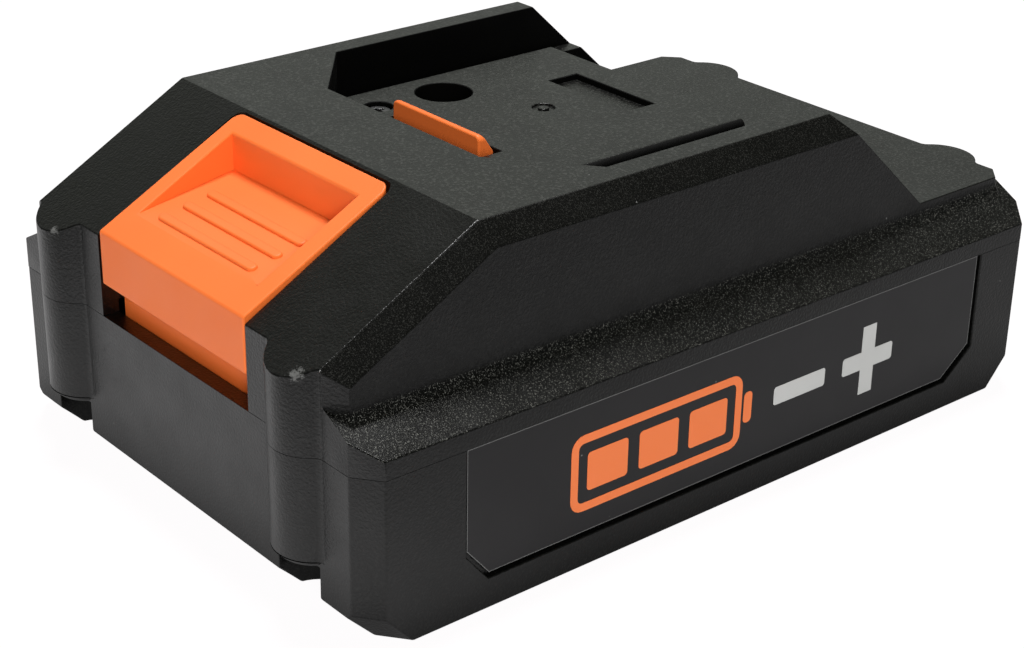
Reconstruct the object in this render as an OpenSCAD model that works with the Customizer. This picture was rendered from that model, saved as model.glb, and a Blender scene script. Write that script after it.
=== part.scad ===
// Slide-on battery pack for a cordless tool: a lower tray, an upper housing with a rail recess,
// a sprung release latch at the front, and five round cells with their board inside.
// The front with the release button faces -Y, the label sides face +X and -X, and the pack
// stands on z = 0 with the origin below its middle.

/* [Cells] */
// Diameter of one round cell
cell_d = 18.4; // [17:0.1:21]
// Length of one round cell
cell_l = 65; // [60:0.5:72]
// Holder web between two neighbouring cells
cell_web = 0.5; // [0.4:0.1:1.5]
// Play of a cell in its holder bore, on the radius
cell_play = 0.05; // [0.03:0.01:0.2]
// Holder skin above and below the cells
holder_skin = 0.6; // [0.4:0.1:1.5]
// Holder skin beyond the outermost cells
holder_end = 0.5; // [0.4:0.1:1.5]
// Depth of one holder along the cells
holder_depth = 15.5; // [13:0.5:20]
// Thickness of the nickel straps on the cell ends
strap_t = 0.3; // [0.15:0.05:0.6]
// Height of the nickel straps
strap_h = 8; // [6:0.5:11]
// Width of the strap tabs that rise to the board
tab_w = 4; // [3:0.5:6]
// Lap of the strap tabs under the board
tab_lap = 2.6; // [2:0.1:3]
// Thickness of the insulation sheets over the straps
sheet_t = 0.4; // [0.2:0.1:0.8]
// Distance of the insulation sheets' upper edges below the top of the holders
sheet_drop = 0.2; // [0.1:0.1:0.8]
// Play on each face of an insulation sheet
sheet_play = 0.1; // [0.05:0.05:0.2]
// Thickness of the foam pad below the holders
pad_t = 1; // [0.6:0.1:2]
// Distance of the foam pad's ends from the holder's ends
pad_inset = 6; // [5:0.5:12]
// Length of the raised button on each cell
cell_button_l = 1.2; // [0.6:0.1:2]
// Step between the cell's radius and its raised button
cell_button_step = 2; // [1:0.1:3]

/* [Shell] */
// Thickness of the side and end walls
wall = 2.2; // [1.8:0.1:2.4]
// Thickness of the tray floor
floor_t = 2; // [1.6:0.1:3]
// Thickness of the deck, slopes and shelf
deck_t = 1.8; // [1.6:0.1:2.4]
// Room between an insulation sheet and the side wall, filled by the locating ribs
side_room = 2.4; // [1.6:0.1:4]
// Play between the holders and the screw columns
end_play = 0.25; // [0.1:0.05:0.6]
// Depth of the joint between tray and upper housing below the top of the holders
seam_drop = 1.4; // [1:0.1:3]
// Run of the upright corner chamfers across the width
corner_x = 3.2; // [2:0.1:4.2]
// Run of the upright corner chamfers along the length
corner_y = 2.5; // [1.5:0.1:3.2]
// Width of the locating ribs beside the cell ends
rib_w = 2; // [1.2:0.1:3]
// Distance of the rib tops below the housing joint
rib_drop = 1; // [0.4:0.1:2]
// Thickness of the lips that stand up inside the upper housing
lip_w = 1; // [0.8:0.1:1.4]
// Height of the lips above the housing joint
lip_rise = 1; // [0.6:0.1:1.1]
// Play between the lips and the upper housing
lip_play = 0.2; // [0.1:0.05:0.4]
// Height of the bevel along the lower end edges
bevel_h = 3.4; // [2.4:0.1:5.5]
// Step by which the tray's inside follows the end bevel more closely
cavity_step = 0.6; // [0.2:0.1:1]
// Height of the bevel below the corner chamfers
corner_bevel_h = 4; // [3:0.1:5.8]
// Slope of the bevel below the corner chamfers, rise over run
corner_bevel = 1.4; // [1.1:0.05:1.6]

/* [Screw columns] */
// Distance of a front screw column axis from the side face
column_inset = 13; // [12:0.1:14]
// Distance of a rear screw column axis from the side face
rear_column_inset = 15.2; // [13:0.1:17]
// Distance of a screw column axis behind the end face
column_in = 2.4; // [1.8:0.1:3]
// Outer radius of a screw column
column_r = 5.1; // [4.6:0.1:5.6]
// Radius of the hollow blend between a column and the end face
column_blend = 1.2; // [0.8:0.1:1.4]
// Height of the lower end of the screw columns
column_z = 7.3; // [6:0.1:9]
// Height of the chamfer round the lower end of a column
column_chamfer = 0.9; // [0.4:0.1:1.2]
// Radius of the driver access below a column
access_r = 4.6; // [4:0.1:4.8]
// Wall round the driver access inside the tray
access_wall = 1.3; // [0.9:0.1:1.6]
// Radius of a housing screw's shank
screw_r = 1.45; // [1.2:0.05:1.8]
// Radius of a housing screw's head
screw_head_r = 2.7; // [2.3:0.1:3.2]
// Height of a housing screw's head
screw_head_h = 2.2; // [1.6:0.1:2.8]
// Play between a screw shank and its hole, on the radius
screw_play = 0.05; // [0.03:0.01:0.2]
// Play round a screw head, on the radius
head_play = 0.3; // [0.15:0.05:0.6]
// Length of screw thread in the upper housing
thread_l = 6; // [4:0.2:6.6]

/* [Upper housing] */
// Width of the sloped shoulder between the lower and the upper side walls
shoulder_w = 5.4; // [3:0.1:6]
// Height of the shoulder's lower edge above the seam
shoulder_rise = 2.3; // [1.8:0.1:3.2]
// Angle of the shoulder
shoulder_angle = 28; // [20:1:36]
// Radius of the blend from the shoulder to the upper wall
shoulder_r = 3.2; // [2:0.1:3.6]
// Width of the chamfer strip along the deck
strip_w = 2.6; // [2:0.05:4]
// Drop of the chamfer strip beside the deck
strip_drop = 2.55; // [1.2:0.05:3]
// Drop of the chamfer strip beside the front slope
slope_strip_drop = 2.5; // [1:0.05:3]
// Run of the upper front corner chamfers across the width
upper_corner_x = 2.3; // [1.5:0.05:2.5]
// Run of the upper front corner chamfers along the length
upper_corner_y = 2; // [1.2:0.1:2.6]
// Run of the upper rear corner chamfers
rear_corner = 2.2; // [1.5:0.1:3]
// Length of the front slope
front_run = 21.2; // [20:0.1:23]
// Drop of the front slope from the deck to the front face
front_drop = 11.64; // [10:0.1:12.4]
// Length of the rear shelf
shelf_l = 17.63; // [16:0.01:20]
// Length of the rear slope
rear_run = 16.32; // [13:0.01:18]
// Height of the rails above the shelf
rail_h = 15.1; // [13:0.1:16]

/* [Recess and rail] */
// Distance from the deck's front edge to the recess
recess_set = 12.24; // [11:0.1:14]
// Width of the recess at its front edge
recess_nose_w = 30.4; // [28:0.2:33]
// Length of the slanted front corners of the recess
recess_corner_l = 9.45; // [8:0.05:11]
// Width of each rail top between the recess and the chamfer strip
rail_w = 3.4; // [2.6:0.05:3.8]
// Width of the ledge low on each recess wall
ledge_w = 2.5; // [1.5:0.1:2.8]
// Height of the ledge above the recess floor
ledge_h = 8.4; // [6:0.1:9]
// Width of the slot between a recess wall and the rail cover
slot_w = 7.4; // [7:0.1:8]
// Depth of the rail cover's top below the deck
cover_drop = 3.12; // [2.6:0.02:3.6]
// Thickness of the rail cover's top plate
cover_t = 2.5; // [2:0.1:3]
// Overhang of the top plate beyond the neck
overhang = 2; // [1.4:0.1:2.4]
// Wall of the rail cover's neck
cover_wall = 1.8; // [1.4:0.1:2.2]
// Distance of the rail cover's rear end from the rear end of the deck
cover_inset = 3.45; // [2.5:0.05:5]
// Play between the rail cover and the recess walls
cover_play = 0.3; // [0.2:0.05:0.6]
// Distance of the neck behind the slanted recess corners
neck_set = 1; // [0.5:0.1:3]
// Radius of the rounded long edges of the top plate
cover_edge_r = 1; // [0.5:0.1:1.4]
// Length of the shallow marking field in the top plate
field_l = 15.1; // [10:0.1:18]
// Width of the shallow marking field
field_w = 4.8; // [3:0.1:6]
// Depth of the shallow marking field
field_depth = 0.8; // [0.3:0.1:1.2]
// Distance of the marking field from the rail cover's rear end
field_set = 5; // [3:0.1:7]
// Radius of the round gate mark in the top plate
gate_r = 1.5; // [1:0.1:2]
// Depth of the round gate mark
gate_depth = 0.3; // [0.1:0.1:0.5]
// Distance of the gate mark from the marking field
gate_set = 7.5; // [5:0.1:9]

/* [Rail cover screws] */
// Radius of the deep screw well in the rail cover
well_r = 3.75; // [3.3:0.05:4]
// Wall of the deep screw well
well_wall = 1; // [0.8:0.1:1.2]
// Distance of the deep screw well's wall from the side of the neck
well_side = 0.1; // [0.05:0.05:1]
// Distance of the deep screw well behind the recess front edge
well_set = 16.3; // [15:0.1:18]
// Depth of the deep screw well
well_depth = 7.5; // [5:0.1:8]
// Radius of the small screw's pocket
pocket_r = 1.9; // [1.7:0.05:2.2]
// Distance of the small screw's wall from the side of the neck
pocket_side = 1.3; // [0.5:0.1:2]
// Distance of the small screw behind the recess front edge
pocket_set = 6.2; // [5.5:0.1:6.6]
// Radius of the small screw's shank
small_screw_r = 0.8; // [0.6:0.05:1]
// Height of the small screw's head
small_head_h = 1.2; // [0.8:0.1:1.6]
// Depth of the small screw's head below the rail cover's top
small_head_drop = 0.5; // [0.2:0.1:0.8]
// Height of the deep screw's head
well_head_h = 2; // [1.4:0.1:2.6]
// Play round the deep screw's head, on the radius
well_head_play = 0.6; // [0.4:0.1:1]
// Radius of the driver sockets in the larger screws
drive_r = 1.2; // [0.8:0.1:1.4]
// Depth of the driver sockets
drive_depth = 1.1; // [0.6:0.1:1.4]
// Length of the cross slots in the small screw
cross_l = 1.8; // [1.2:0.1:2.2]
// Width of the cross slots in the small screw
cross_w = 0.45; // [0.3:0.05:0.6]
// Room between a screw tip and the end of its hole
tip_room = 0.4; // [0.2:0.1:0.6]

/* [Release latch] */
// Distance between the front slope's button slot and the columns beside it
slot_margin = 4; // [3.6:0.1:5]
// Play of the latch in the button slot
button_play = 0.35; // [0.2:0.05:0.6]
// Travel of the latch when it is pressed
travel = 3.2; // [2.8:0.1:3.4]
// Gap left below the front lip when the latch is pressed
lip_gap = 1.2; // [0.8:0.1:2]
// Thickness of the front lip
lip_t = 2.7; // [2.6:0.1:3.2]
// Wall thickness of the latch
latch_t = 1.8; // [1.4:0.1:2.2]
// Distance of the button slot in front of the deck's front edge
slot_set = 0.5; // [0.3:0.02:2]
// Radius of the rear corners of the button
button_r = 1.5; // [0.8:0.1:2.5]
// Rim behind the thumb scoop
scoop_rim = 2.8; // [1.8:0.05:3.2]
// Rim beside the thumb scoop
scoop_side = 2.65; // [2:0.05:3.5]
// Distance of the scoop's front end behind the front face
scoop_front_set = 3.7; // [3:0.1:5]
// Angle of the scoop floor
scoop_angle = 10.2; // [8:0.1:15]
// Rise of the button's front edge above the front slope
button_rise = 0.7; // [0.2:0.05:1]
// Rise of the button's rear edge above the front slope
button_back_rise = 0.2; // [0.05:0.05:0.3]
// Length of the grip bars on the scoop floor
bar_l = 20; // [14:0.5:22]
// Width of the grip bars
bar_w = 1.4; // [0.8:0.1:1.8]
// Height of the grip bars
bar_h = 0.4; // [0.2:0.1:0.8]
// Distance from bar to bar
bar_pitch = 3.4; // [2.4:0.1:3.6]
// Distance of the middle bar behind the scoop's front end
bar_set = 5.1; // [4.6:0.1:7]
// Width of the latch tongue
tongue_w = 17.2; // [14:0.2:18]
// Thickness of the latch tongue where it leaves the rail cover
tongue_t = 2.45; // [2:0.05:3]
// Thickness of the tongue's top edge
tongue_top = 0.8; // [0.5:0.1:1.2]
// Distance of the tongue behind the recess front edge
tongue_set = 5.17; // [4.6:0.01:6]
// Height of the tongue above the rail cover
tongue_h = 2.4; // [2:0.1:2.8]
// Radius of the tongue's upper corners
tongue_r = 0.8; // [0.4:0.1:1]
// Play of the tongue in its slot
tongue_play = 0.4; // [0.25:0.05:0.8]
// Thickness of the arm between the button and the tongue
arm_t = 2; // [1.6:0.1:2.4]
// Depth of the arm below the rail cover's top plate
arm_drop = 1; // [0.6:0.1:1.4]
// Play between the latch stop and the deck
stop_play = 0.3; // [0.2:0.05:0.5]
// Distance of the latch stop from the walls before and behind it
stop_room = 0.6; // [0.3:0.1:1]
// Reach of the latch skirt below the housing joint
skirt_drop = 2.1; // [1.2:0.1:3]
// Mean radius of the two release springs
spring_r = 2.4; // [2:0.1:2.8]
// Wire diameter of the release springs
spring_wire = 0.5; // [0.35:0.05:0.6]
// Turns of each release spring
spring_turns = 5; // [4:0.5:5.5]
// Distance of the spring seats from the latch side walls
spring_side = 1.3; // [0.8:0.1:3]
// Length of the release springs when the latch is pressed
spring_pressed = 3.4; // [3:0.1:4]
// Rim of the spring seats round the springs
spring_rim = 0.6; // [0.4:0.1:1]
// Height of the posts that hold the springs
spring_post_h = 2; // [1:0.1:2.4]
// Thickness of the shelf that carries the springs
spring_shelf_t = 1.4; // [1:0.1:1.8]

/* [Labels] */
// Depth of the label field in the tray sides
label_depth = 0.8; // [0.4:0.05:1]
// Thickness of a label plate
label_t = 0.6; // [0.3:0.05:0.8]
// Distance of the label field from the front face
label_front = 13.5; // [10:0.1:18]
// Distance of the label field from the rear face
label_rear = 10.65; // [8:0.05:15]
// Height of the label field's lower edge
label_z = 4; // [2.5:0.1:6]
// Run of the label field's front corner cut
label_cut_front = 3.2; // [2:0.1:5]
// Run of the label field's rear corner cut
label_cut_rear = 5; // [3:0.1:6]
// Height of the label field's corner cuts
label_cut_h = 3.8; // [2:0.1:5]
// Gap below and behind the label plate
label_gap = 0.6; // [0.2:0.1:1]
// Gap in front of and above the label plate
label_slit = 0.15; // [0.05:0.05:0.3]

/* [Board and terminals] */
// Height of the board seats above the holders
board_seat = 0.7; // [0.5:0.1:1.2]
// Thickness of the circuit board
board_t = 1.3; // [1:0.1:1.8]
// Room above the board for its parts
part_room = 2.04; // [1.9:0.02:3]
// Distance of the board's long edges from the cell ends
board_side = 6.5; // [5.5:0.1:7.5]
// Distance of the board's front edge behind the button slot's wall
board_set = 2; // [1.8:0.1:4]
// Distance of the board's rear edge from the holder's rear end
board_rear = 9.75; // [8:0.05:12]
// Radius of the board screws
board_screw_r = 0.8; // [0.6:0.05:0.9]
// Radius of the board screw heads
board_head_r = 2; // [1.5:0.1:2.4]
// Height of the board screw heads
board_head_h = 1.3; // [0.8:0.1:1.6]
// Length of the board screws in the holders
board_thread = 3.2; // [2.4:0.1:3.6]
// Radius of the board seats on the holders
seat_r = 3; // [2.4:0.1:3.6]
// Distance of the board seats from the strap tabs
seat_gap = 0.3; // [0.1:0.1:0.4]
// Width of one power transistor
transistor_w = 5; // [4:0.1:5.6]
// Length of one power transistor
transistor_l = 6; // [5:0.1:7]
// Height of one power transistor
transistor_h = 1.5; // [1:0.1:1.8]
// Distance from transistor to transistor
transistor_pitch = 7.5; // [6:0.1:8.5]
// Distance of the transistors from the board's front edge
transistor_set = 6; // [4:0.1:7]
// Side of the controller chip
chip_w = 7; // [5:0.1:8]
// Height of the controller chip
chip_h = 1.2; // [0.8:0.1:1.6]
// Distance of the chip and the sense resistor from the middle
chip_x = 10; // [9:0.1:12]
// Length of the sense resistor
resistor_l = 6.4; // [5:0.1:7]
// Width of the sense resistor
resistor_w = 3.2; // [2.5:0.1:4]
// Height of the sense resistor
resistor_h = 0.9; // [0.6:0.1:1.4]
// Radius of one capacitor can
can_r = 2; // [1.5:0.1:2.4]
// Height of one capacitor can
can_h = 1.6; // [1.2:0.1:1.8]
// Distance from can to can
can_pitch = 6; // [5:0.1:7]
// Distance of the cans from the board's long edge
can_set = 6; // [4:0.1:7]
// Distance from terminal to terminal
term_pitch = 6; // [5.4:0.1:6.6]
// Thickness of the terminal leaves
leaf_t = 0.6; // [0.4:0.05:0.8]
// Gap between the two leaves of a terminal
leaf_gap = 1; // [0.8:0.05:1.2]
// Height of the terminal leaves
leaf_h = 5; // [4:0.1:5.6]
// Length of the terminal leaves
leaf_l = 7.5; // [6:0.1:8.5]
// Room between the terminal block and the rail cover
block_room = 0.4; // [0.2:0.1:0.8]
// Wall of the terminal block beside the outer terminals
block_wall = 2; // [1.2:0.1:2.4]
// Thickness of the terminal block above the terminals
block_lid = 1; // [0.6:0.1:1.6]
// Length of the terminal block along the pack
block_l = 11; // [10:0.1:12]
// Radius of the thermistor bead
bead_r = 1.5; // [1:0.1:1.6]
// Play between the thermistor bead and the cells
bead_play = 0.1; // [0.05:0.05:0.3]
// Radius of the thermistor leads
lead_r = 0.25; // [0.2:0.05:0.4]

/* [Hidden] */
$fn = 48;
eps = 0.01;
reach = 200;
cell_count = 5;
cell_numbers = [1, 2, 3, 4, 5];
spring_sides = 6;
spring_rings = 8;

// Cells, holders and the outer size that follows from them
bore_r = cell_d / 2 + cell_play;
pitch = 2 * bore_r + cell_web;
cell_x = cell_l / 2;
holder_hl = (cell_count - 1) / 2 * pitch + bore_r + holder_end;
holder_z = floor_t + pad_t;
cell_z = holder_z + holder_skin + bore_r;
holder_top = holder_z + 2 * holder_skin + 2 * bore_r;
seam_z = holder_top - seam_drop;
sheet_x = cell_x + strap_t + sheet_play;
rib_x = sheet_x + sheet_t + sheet_play;
hw = rib_x + side_room + wall;
hl = holder_hl + end_play + column_r + column_in;
column_x = hw - column_inset;
rear_column_x = hw - rear_column_inset;
column_y = hl - column_in;

// Heights of the board, shelf, deck and rail
board_z = holder_top + board_seat;
board_top = board_z + board_t;
shelf_under = board_top + part_room;
shelf_z = shelf_under + deck_t;
deck_z = shelf_z + rail_h;
deck_under = deck_z - deck_t;
cover_z = deck_z - cover_drop;
plate_z = cover_z - cover_t;
ledge_z = shelf_z + ledge_h;
front_z = deck_z - front_drop;
shoulder_z = seam_z + shoulder_rise;

// Plan positions of the upper housing
upper_hw = hw - shoulder_w;
deck_hw = upper_hw - strip_w;
deck_front = -hl + front_run;
shelf_front = hl - shelf_l;
deck_rear = shelf_front - rear_run;
front_tan = front_drop / front_run;
front_angle = atan(front_tan);
rear_angle = atan(rail_h / rear_run);
recess_hw = deck_hw - rail_w;
recess_front = deck_front + recess_set;
recess_back = hl + column_r;
cover_hw = recess_hw - slot_w;
neck_hw = cover_hw - overhang;
neck_in = neck_hw - cover_wall;
neck_front = recess_front + recess_corner_l + neck_set;
cover_rear = deck_rear - cover_inset;
well_x = -(neck_hw - well_r - well_wall - well_side);
well_y = recess_front + well_set;
well_floor = cover_z - well_depth;
pocket_x = -(neck_hw - pocket_r - well_wall - pocket_side);
pocket_y = recess_front + pocket_set;
pocket_floor = cover_z - small_head_h - small_head_drop;

// Release latch
slot_hw = column_x - column_r - slot_margin;
button_hw = slot_hw - button_play;
slot_back = deck_front - slot_set;
button_back = slot_back - button_play;
lip_z = seam_z + travel + lip_gap;
skirt_y = -hl + lip_t;
skirt_back = skirt_y + latch_t;
skirt_z = seam_z - skirt_drop;
scoop_back = button_back - scoop_rim;
scoop_front = -hl + scoop_front_set;
scoop_hw = button_hw - scoop_side;
button_tan = (slope_z(button_back) + button_back_rise - front_z - button_rise) / (button_back + hl);
tongue_y = recess_front + tongue_set;
tongue_z = cover_z + tongue_h;
tongue_hw = tongue_w / 2;
arm_top = plate_z - arm_drop;
arm_z = arm_top - arm_t;
spring_shelf_z = holder_top + stop_play;
spring_z = spring_shelf_z + spring_shelf_t;
spring_y = (skirt_back + scoop_back) / 2;
spring_seat_r = spring_r + spring_wire / 2 + spring_rim;
spring_post_r = spring_r - spring_wire / 2 - button_play;
spring_x = button_hw - latch_t - spring_seat_r - spring_side;
spring_top = spring_z + travel + spring_pressed;
side_z = spring_z + travel + spring_rim;
stop_top = deck_under - stop_play;

// Board, terminals and thermistor
board_hw = cell_x - board_side;
board_front = slot_back + latch_t + board_set;
board_back = holder_hl - board_rear;
seat_x = board_hw - tab_lap - seat_r - seat_gap;
seat_y = 1.5 * pitch;
block_rear = cover_rear - cover_wall - block_room;
block_front = block_rear - block_l;
block_top = plate_z - block_room;
block_hw = 1.5 * term_pitch + leaf_gap / 2 + leaf_t + block_wall;
leaf_z = block_top - block_lid - leaf_h;
pocket_play = 0.15;
bead_y = pitch / 2;
bead_dz = sqrt(pow(cell_d / 2 + bead_r + bead_play, 2) - pow(pitch / 2, 2));
bead_z = cell_z + bead_dz;

function slope_z(y) = front_z + (y + hl) * front_tan;
function button_z(y) = front_z + button_rise + (y + hl) * button_tan;
function scoop_z(y) = button_z(scoop_front) + (y - scoop_front) * tan(scoop_angle);
function shoulder_at(x) = shoulder_z + (hw - x) * tan(shoulder_angle);
blend_run = shoulder_r * tan((90 - shoulder_angle) / 2);
blend_sink = 0.12;
blend_top = shoulder_at(upper_hw) + blend_run - blend_sink;

function cell_y(n) = (n - (cell_count + 1) / 2) * pitch;

// Extrude a profile drawn in X and Z along the length
module along_y(l) {
    rotate([90, 0, 0])
        linear_extrude(height = l, center = true)
            children();
}

// Extrude a profile drawn in Y and Z across the width
module along_x(l) {
    rotate([90, 0, 90])
        linear_extrude(height = l, center = true)
            children();
}

module both_sides() {
    children();
    mirror([1, 0, 0])
        children();
}

module both_ends() {
    children();
    mirror([0, 1, 0])
        children();
}

module block(x0, x1, y0, y1, z0, z1) {
    translate([x0, y0, z0])
        cube([x1 - x0, y1 - y0, z1 - z0]);
}

module rod(x, y, z0, z1, r) {
    translate([x, y, z0])
        cylinder(h = z1 - z0, r = r);
}

// Plan outline with chamfered corners, front and rear ones apart
module chamfered_plan(w, l, front, rear) {
    polygon([
        [-w, l - rear.y], [-w + rear.x, l], [w - rear.x, l], [w, l - rear.y],
        [w, -l + front.y], [w - front.x, -l], [-w + front.x, -l], [-w, -l + front.y]]);
}

// Rectangle whose two rear corners are rounded
module round_back_plan(w, y0, y1, r) {
    translate([-w, y0])
        square([2 * w, y1 - r - y0]);
    translate([-w + r, y0])
        square([2 * (w - r), y1 - y0]);
    for (s = [-1, 1])
        translate([s * (w - r), y1 - r])
            circle(r);
}

// Prism along an upright corner chamfer: its profile is drawn as outward distance and height
module along_corner(half_w, half_l, run_x, run_y) {
    translate([half_w - run_x, -half_l, 0])
        rotate([0, 0, atan2(run_y, run_x)])
            rotate([90, 0, -90])
                linear_extrude(height = reach, center = true)
                    children();
}

// Places its children, drawn for a front column on the origin, on every screw column axis
module at_columns() {
    both_sides() {
        translate([column_x, -column_y, 0])
            children();
        mirror([0, 1, 0])
            translate([rear_column_x, -column_y, 0])
                children();
    }
}

// Plan of the front screw column at x, with its hollow blends to the end face
module column_plan(x) {
    blend_x = sqrt(pow(column_r + column_blend, 2) - pow(column_in + column_blend, 2));
    translate([x, -column_y])
        circle(column_r);
    difference() {
        polygon([
            [x - blend_x, -hl - column_blend], [x, -column_y], [x + blend_x, -hl - column_blend],
            [x + blend_x, -column_y + 1], [x - blend_x, -column_y + 1]]);
        for (s = [-1, 1])
            translate([x + s * blend_x, -hl - column_blend])
                circle(column_blend);
    }
}

module columns(z0, z1) {
    both_sides() {
        translate([0, 0, z0])
            linear_extrude(height = z1 - z0)
                column_plan(column_x);
        mirror([0, 1, 0])
            translate([0, 0, z0])
                linear_extrude(height = z1 - z0)
                    column_plan(rear_column_x);
    }
}

// Driver access, screw hole and head seat of every housing screw
module column_bores() {
    head_z = column_z + screw_head_h + head_play;
    at_columns() {
        rod(0, 0, -1, column_z, access_r);
        rod(0, 0, column_z - eps, head_z, screw_head_r + head_play);
        rod(0, 0, head_z - eps, seam_z + 1, screw_r + screw_play);
    }
}

module label_field(x0, x1, inset_front, inset_low) {
    y0 = -hl + label_front + inset_front;
    y1 = hl - label_rear - inset_low;
    z0 = label_z + inset_low;
    translate([(x0 + x1) / 2, 0, 0])
        along_x(x1 - x0)
            polygon([
                [y0, z0 + label_cut_h], [y0 + label_cut_front, z0], [y1 - label_cut_rear, z0],
                [y1, z0 + label_cut_h], [y1, seam_z - inset_front], [y0, seam_z - inset_front]]);
}

module tray_outside() {
    over = 5;
    difference() {
        intersection() {
            linear_extrude(height = seam_z)
                chamfered_plan(hw, hl, [corner_x, corner_y], [corner_x, corner_y]);
            along_x(reach)
                polygon([
                    [-hl + bevel_h, 0], [-hl, bevel_h], [-hl, seam_z],
                    [hl, seam_z], [hl, bevel_h], [hl - bevel_h, 0]]);
        }
        both_ends()
            both_sides()
                along_corner(hw, hl, corner_x, corner_y)
                    polygon([
                        [over, corner_bevel_h + over * corner_bevel],
                        [-(corner_bevel_h + over) / corner_bevel, -over], [over, -over]]);
    }
}

module tray_cavity() {
    bevel_in = bevel_h + (sqrt(2) - 1) * floor_t - cavity_step;
    along_x(2 * (hw - wall))
        polygon([
            [-hl + bevel_in + wall, floor_t], [-hl + wall, bevel_in + floor_t],
            [-hl + wall, seam_z + 1], [hl - wall, seam_z + 1],
            [hl - wall, bevel_in + floor_t], [hl - bevel_in - wall, floor_t]]);
}

// Ribs beside the cell ends, and lips that stand up inside the upper housing
module tray_ribs() {
    lip_out = hw - wall - lip_play;
    lip_in = lip_out - lip_w;
    lip_foot = seam_z - 2 * lip_w;
    for (y = [-1.5 * pitch, 0, 1.5 * pitch])
        block(rib_x, hw - wall + eps, y - rib_w / 2, y + rib_w / 2, floor_t - eps, seam_z - rib_drop);
    along_y(2 * (holder_hl - pitch / 2))
        polygon([
            [hw - wall + eps, seam_z], [hw - wall + eps, lip_foot], [lip_in, lip_foot],
            [lip_in, seam_z + lip_rise], [lip_out, seam_z + lip_rise], [lip_out, seam_z]]);
}

module lower_housing() {
    color("#2b2b2d")
        difference() {
            union() {
                difference() {
                    tray_outside();
                    tray_cavity();
                }
                both_sides()
                    tray_ribs();
                columns(column_z + column_chamfer - eps, seam_z);
                at_columns()
                    translate([0, 0, column_z])
                        cylinder(h = column_chamfer, r1 = column_r - column_chamfer, r2 = column_r);
                intersection() {
                    at_columns()
                        rod(0, 0, 0, column_z + column_chamfer, access_r + access_wall);
                    tray_outside();
                }
            }
            column_bores();
            both_sides()
                label_field(hw - label_depth, hw + 1, 0, 0);
        }
}

// Side outline of the upper housing, carried past both end faces
module upper_side_outline() {
    polygon([
        [-hl - column_r, seam_z], [hl + column_r, seam_z], [hl + column_r, shelf_z],
        [shelf_front, shelf_z], [deck_rear, deck_z], [deck_front, deck_z],
        [-hl - column_r, slope_z(-hl - column_r)]]);
}

// Shoulder blend: the corner between the shoulder and the upper wall, hollowed by one radius
module shoulder_blend_profile() {
    corner_z = shoulder_at(upper_hw);
    difference() {
        polygon([
            [deck_hw - 1, corner_z - blend_run / 2],
            [upper_hw + blend_run * cos(shoulder_angle), corner_z - blend_run * sin(shoulder_angle)],
            [upper_hw + shoulder_r, blend_top], [deck_hw - 1, blend_top]]);
        translate([upper_hw + shoulder_r, blend_top])
            circle(shoulder_r);
    }
}

module shoulder() {
    intersection() {
        along_y(2 * hl)
            polygon([
                [-hw, seam_z], [hw, seam_z], [hw, shoulder_z],
                [deck_hw - 1, shoulder_at(deck_hw - 1)],
                [-deck_hw + 1, shoulder_at(deck_hw - 1)], [-hw, shoulder_z]]);
        linear_extrude(height = reach)
            chamfered_plan(hw, hl, [corner_x, corner_y], [corner_x, corner_y]);
    }
    difference() {
        intersection() {
            both_sides()
                along_y(2 * hl)
                    shoulder_blend_profile();
            linear_extrude(height = reach)
                chamfered_plan(hw, hl, [corner_x, corner_y], [corner_x, corner_y]);
        }
        both_sides() {
            along_corner(upper_hw, hl, upper_corner_x, upper_corner_y)
                blend_trim();
            mirror([0, 1, 0])
                along_corner(upper_hw, hl, rear_corner, rear_corner)
                    blend_trim();
        }
    }
}

// What is taken off the shoulder blend where it turns round a corner chamfer
module blend_trim() {
    translate([shoulder_r, blend_top])
        circle(shoulder_r);
    translate([0, blend_top])
        square([reach, reach]);
    translate([shoulder_r, blend_top - shoulder_r])
        square([reach, reach]);
}

module upper_block() {
    intersection() {
        translate([0, 0, seam_z])
            linear_extrude(height = reach)
                chamfered_plan(upper_hw, hl, [upper_corner_x, upper_corner_y], [rear_corner, rear_corner]);
        along_y(reach)
            polygon([
                [-upper_hw, seam_z], [upper_hw, seam_z], [upper_hw, deck_z - strip_drop],
                [deck_hw - strip_w, deck_z + strip_drop], [-deck_hw + strip_w, deck_z + strip_drop],
                [-upper_hw, deck_z - strip_drop]]);
    }
}

// Space above the chamfer strips that run down beside the front slope
module slope_strips() {
    over = 1;
    both_sides()
        translate([0, deck_front, deck_z])
            rotate([front_angle, 0, 0])
                along_y(reach)
                    polygon([
                        [deck_hw, 0], [upper_hw + strip_w, -2 * slope_strip_drop],
                        [upper_hw + strip_w, over], [deck_hw, over]]);
}

module upper_outside() {
    difference() {
        intersection() {
            along_x(reach)
                upper_side_outline();
            union() {
                shoulder();
                upper_block();
                columns(seam_z, deck_z);
            }
        }
        slope_strips();
    }
}

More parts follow.
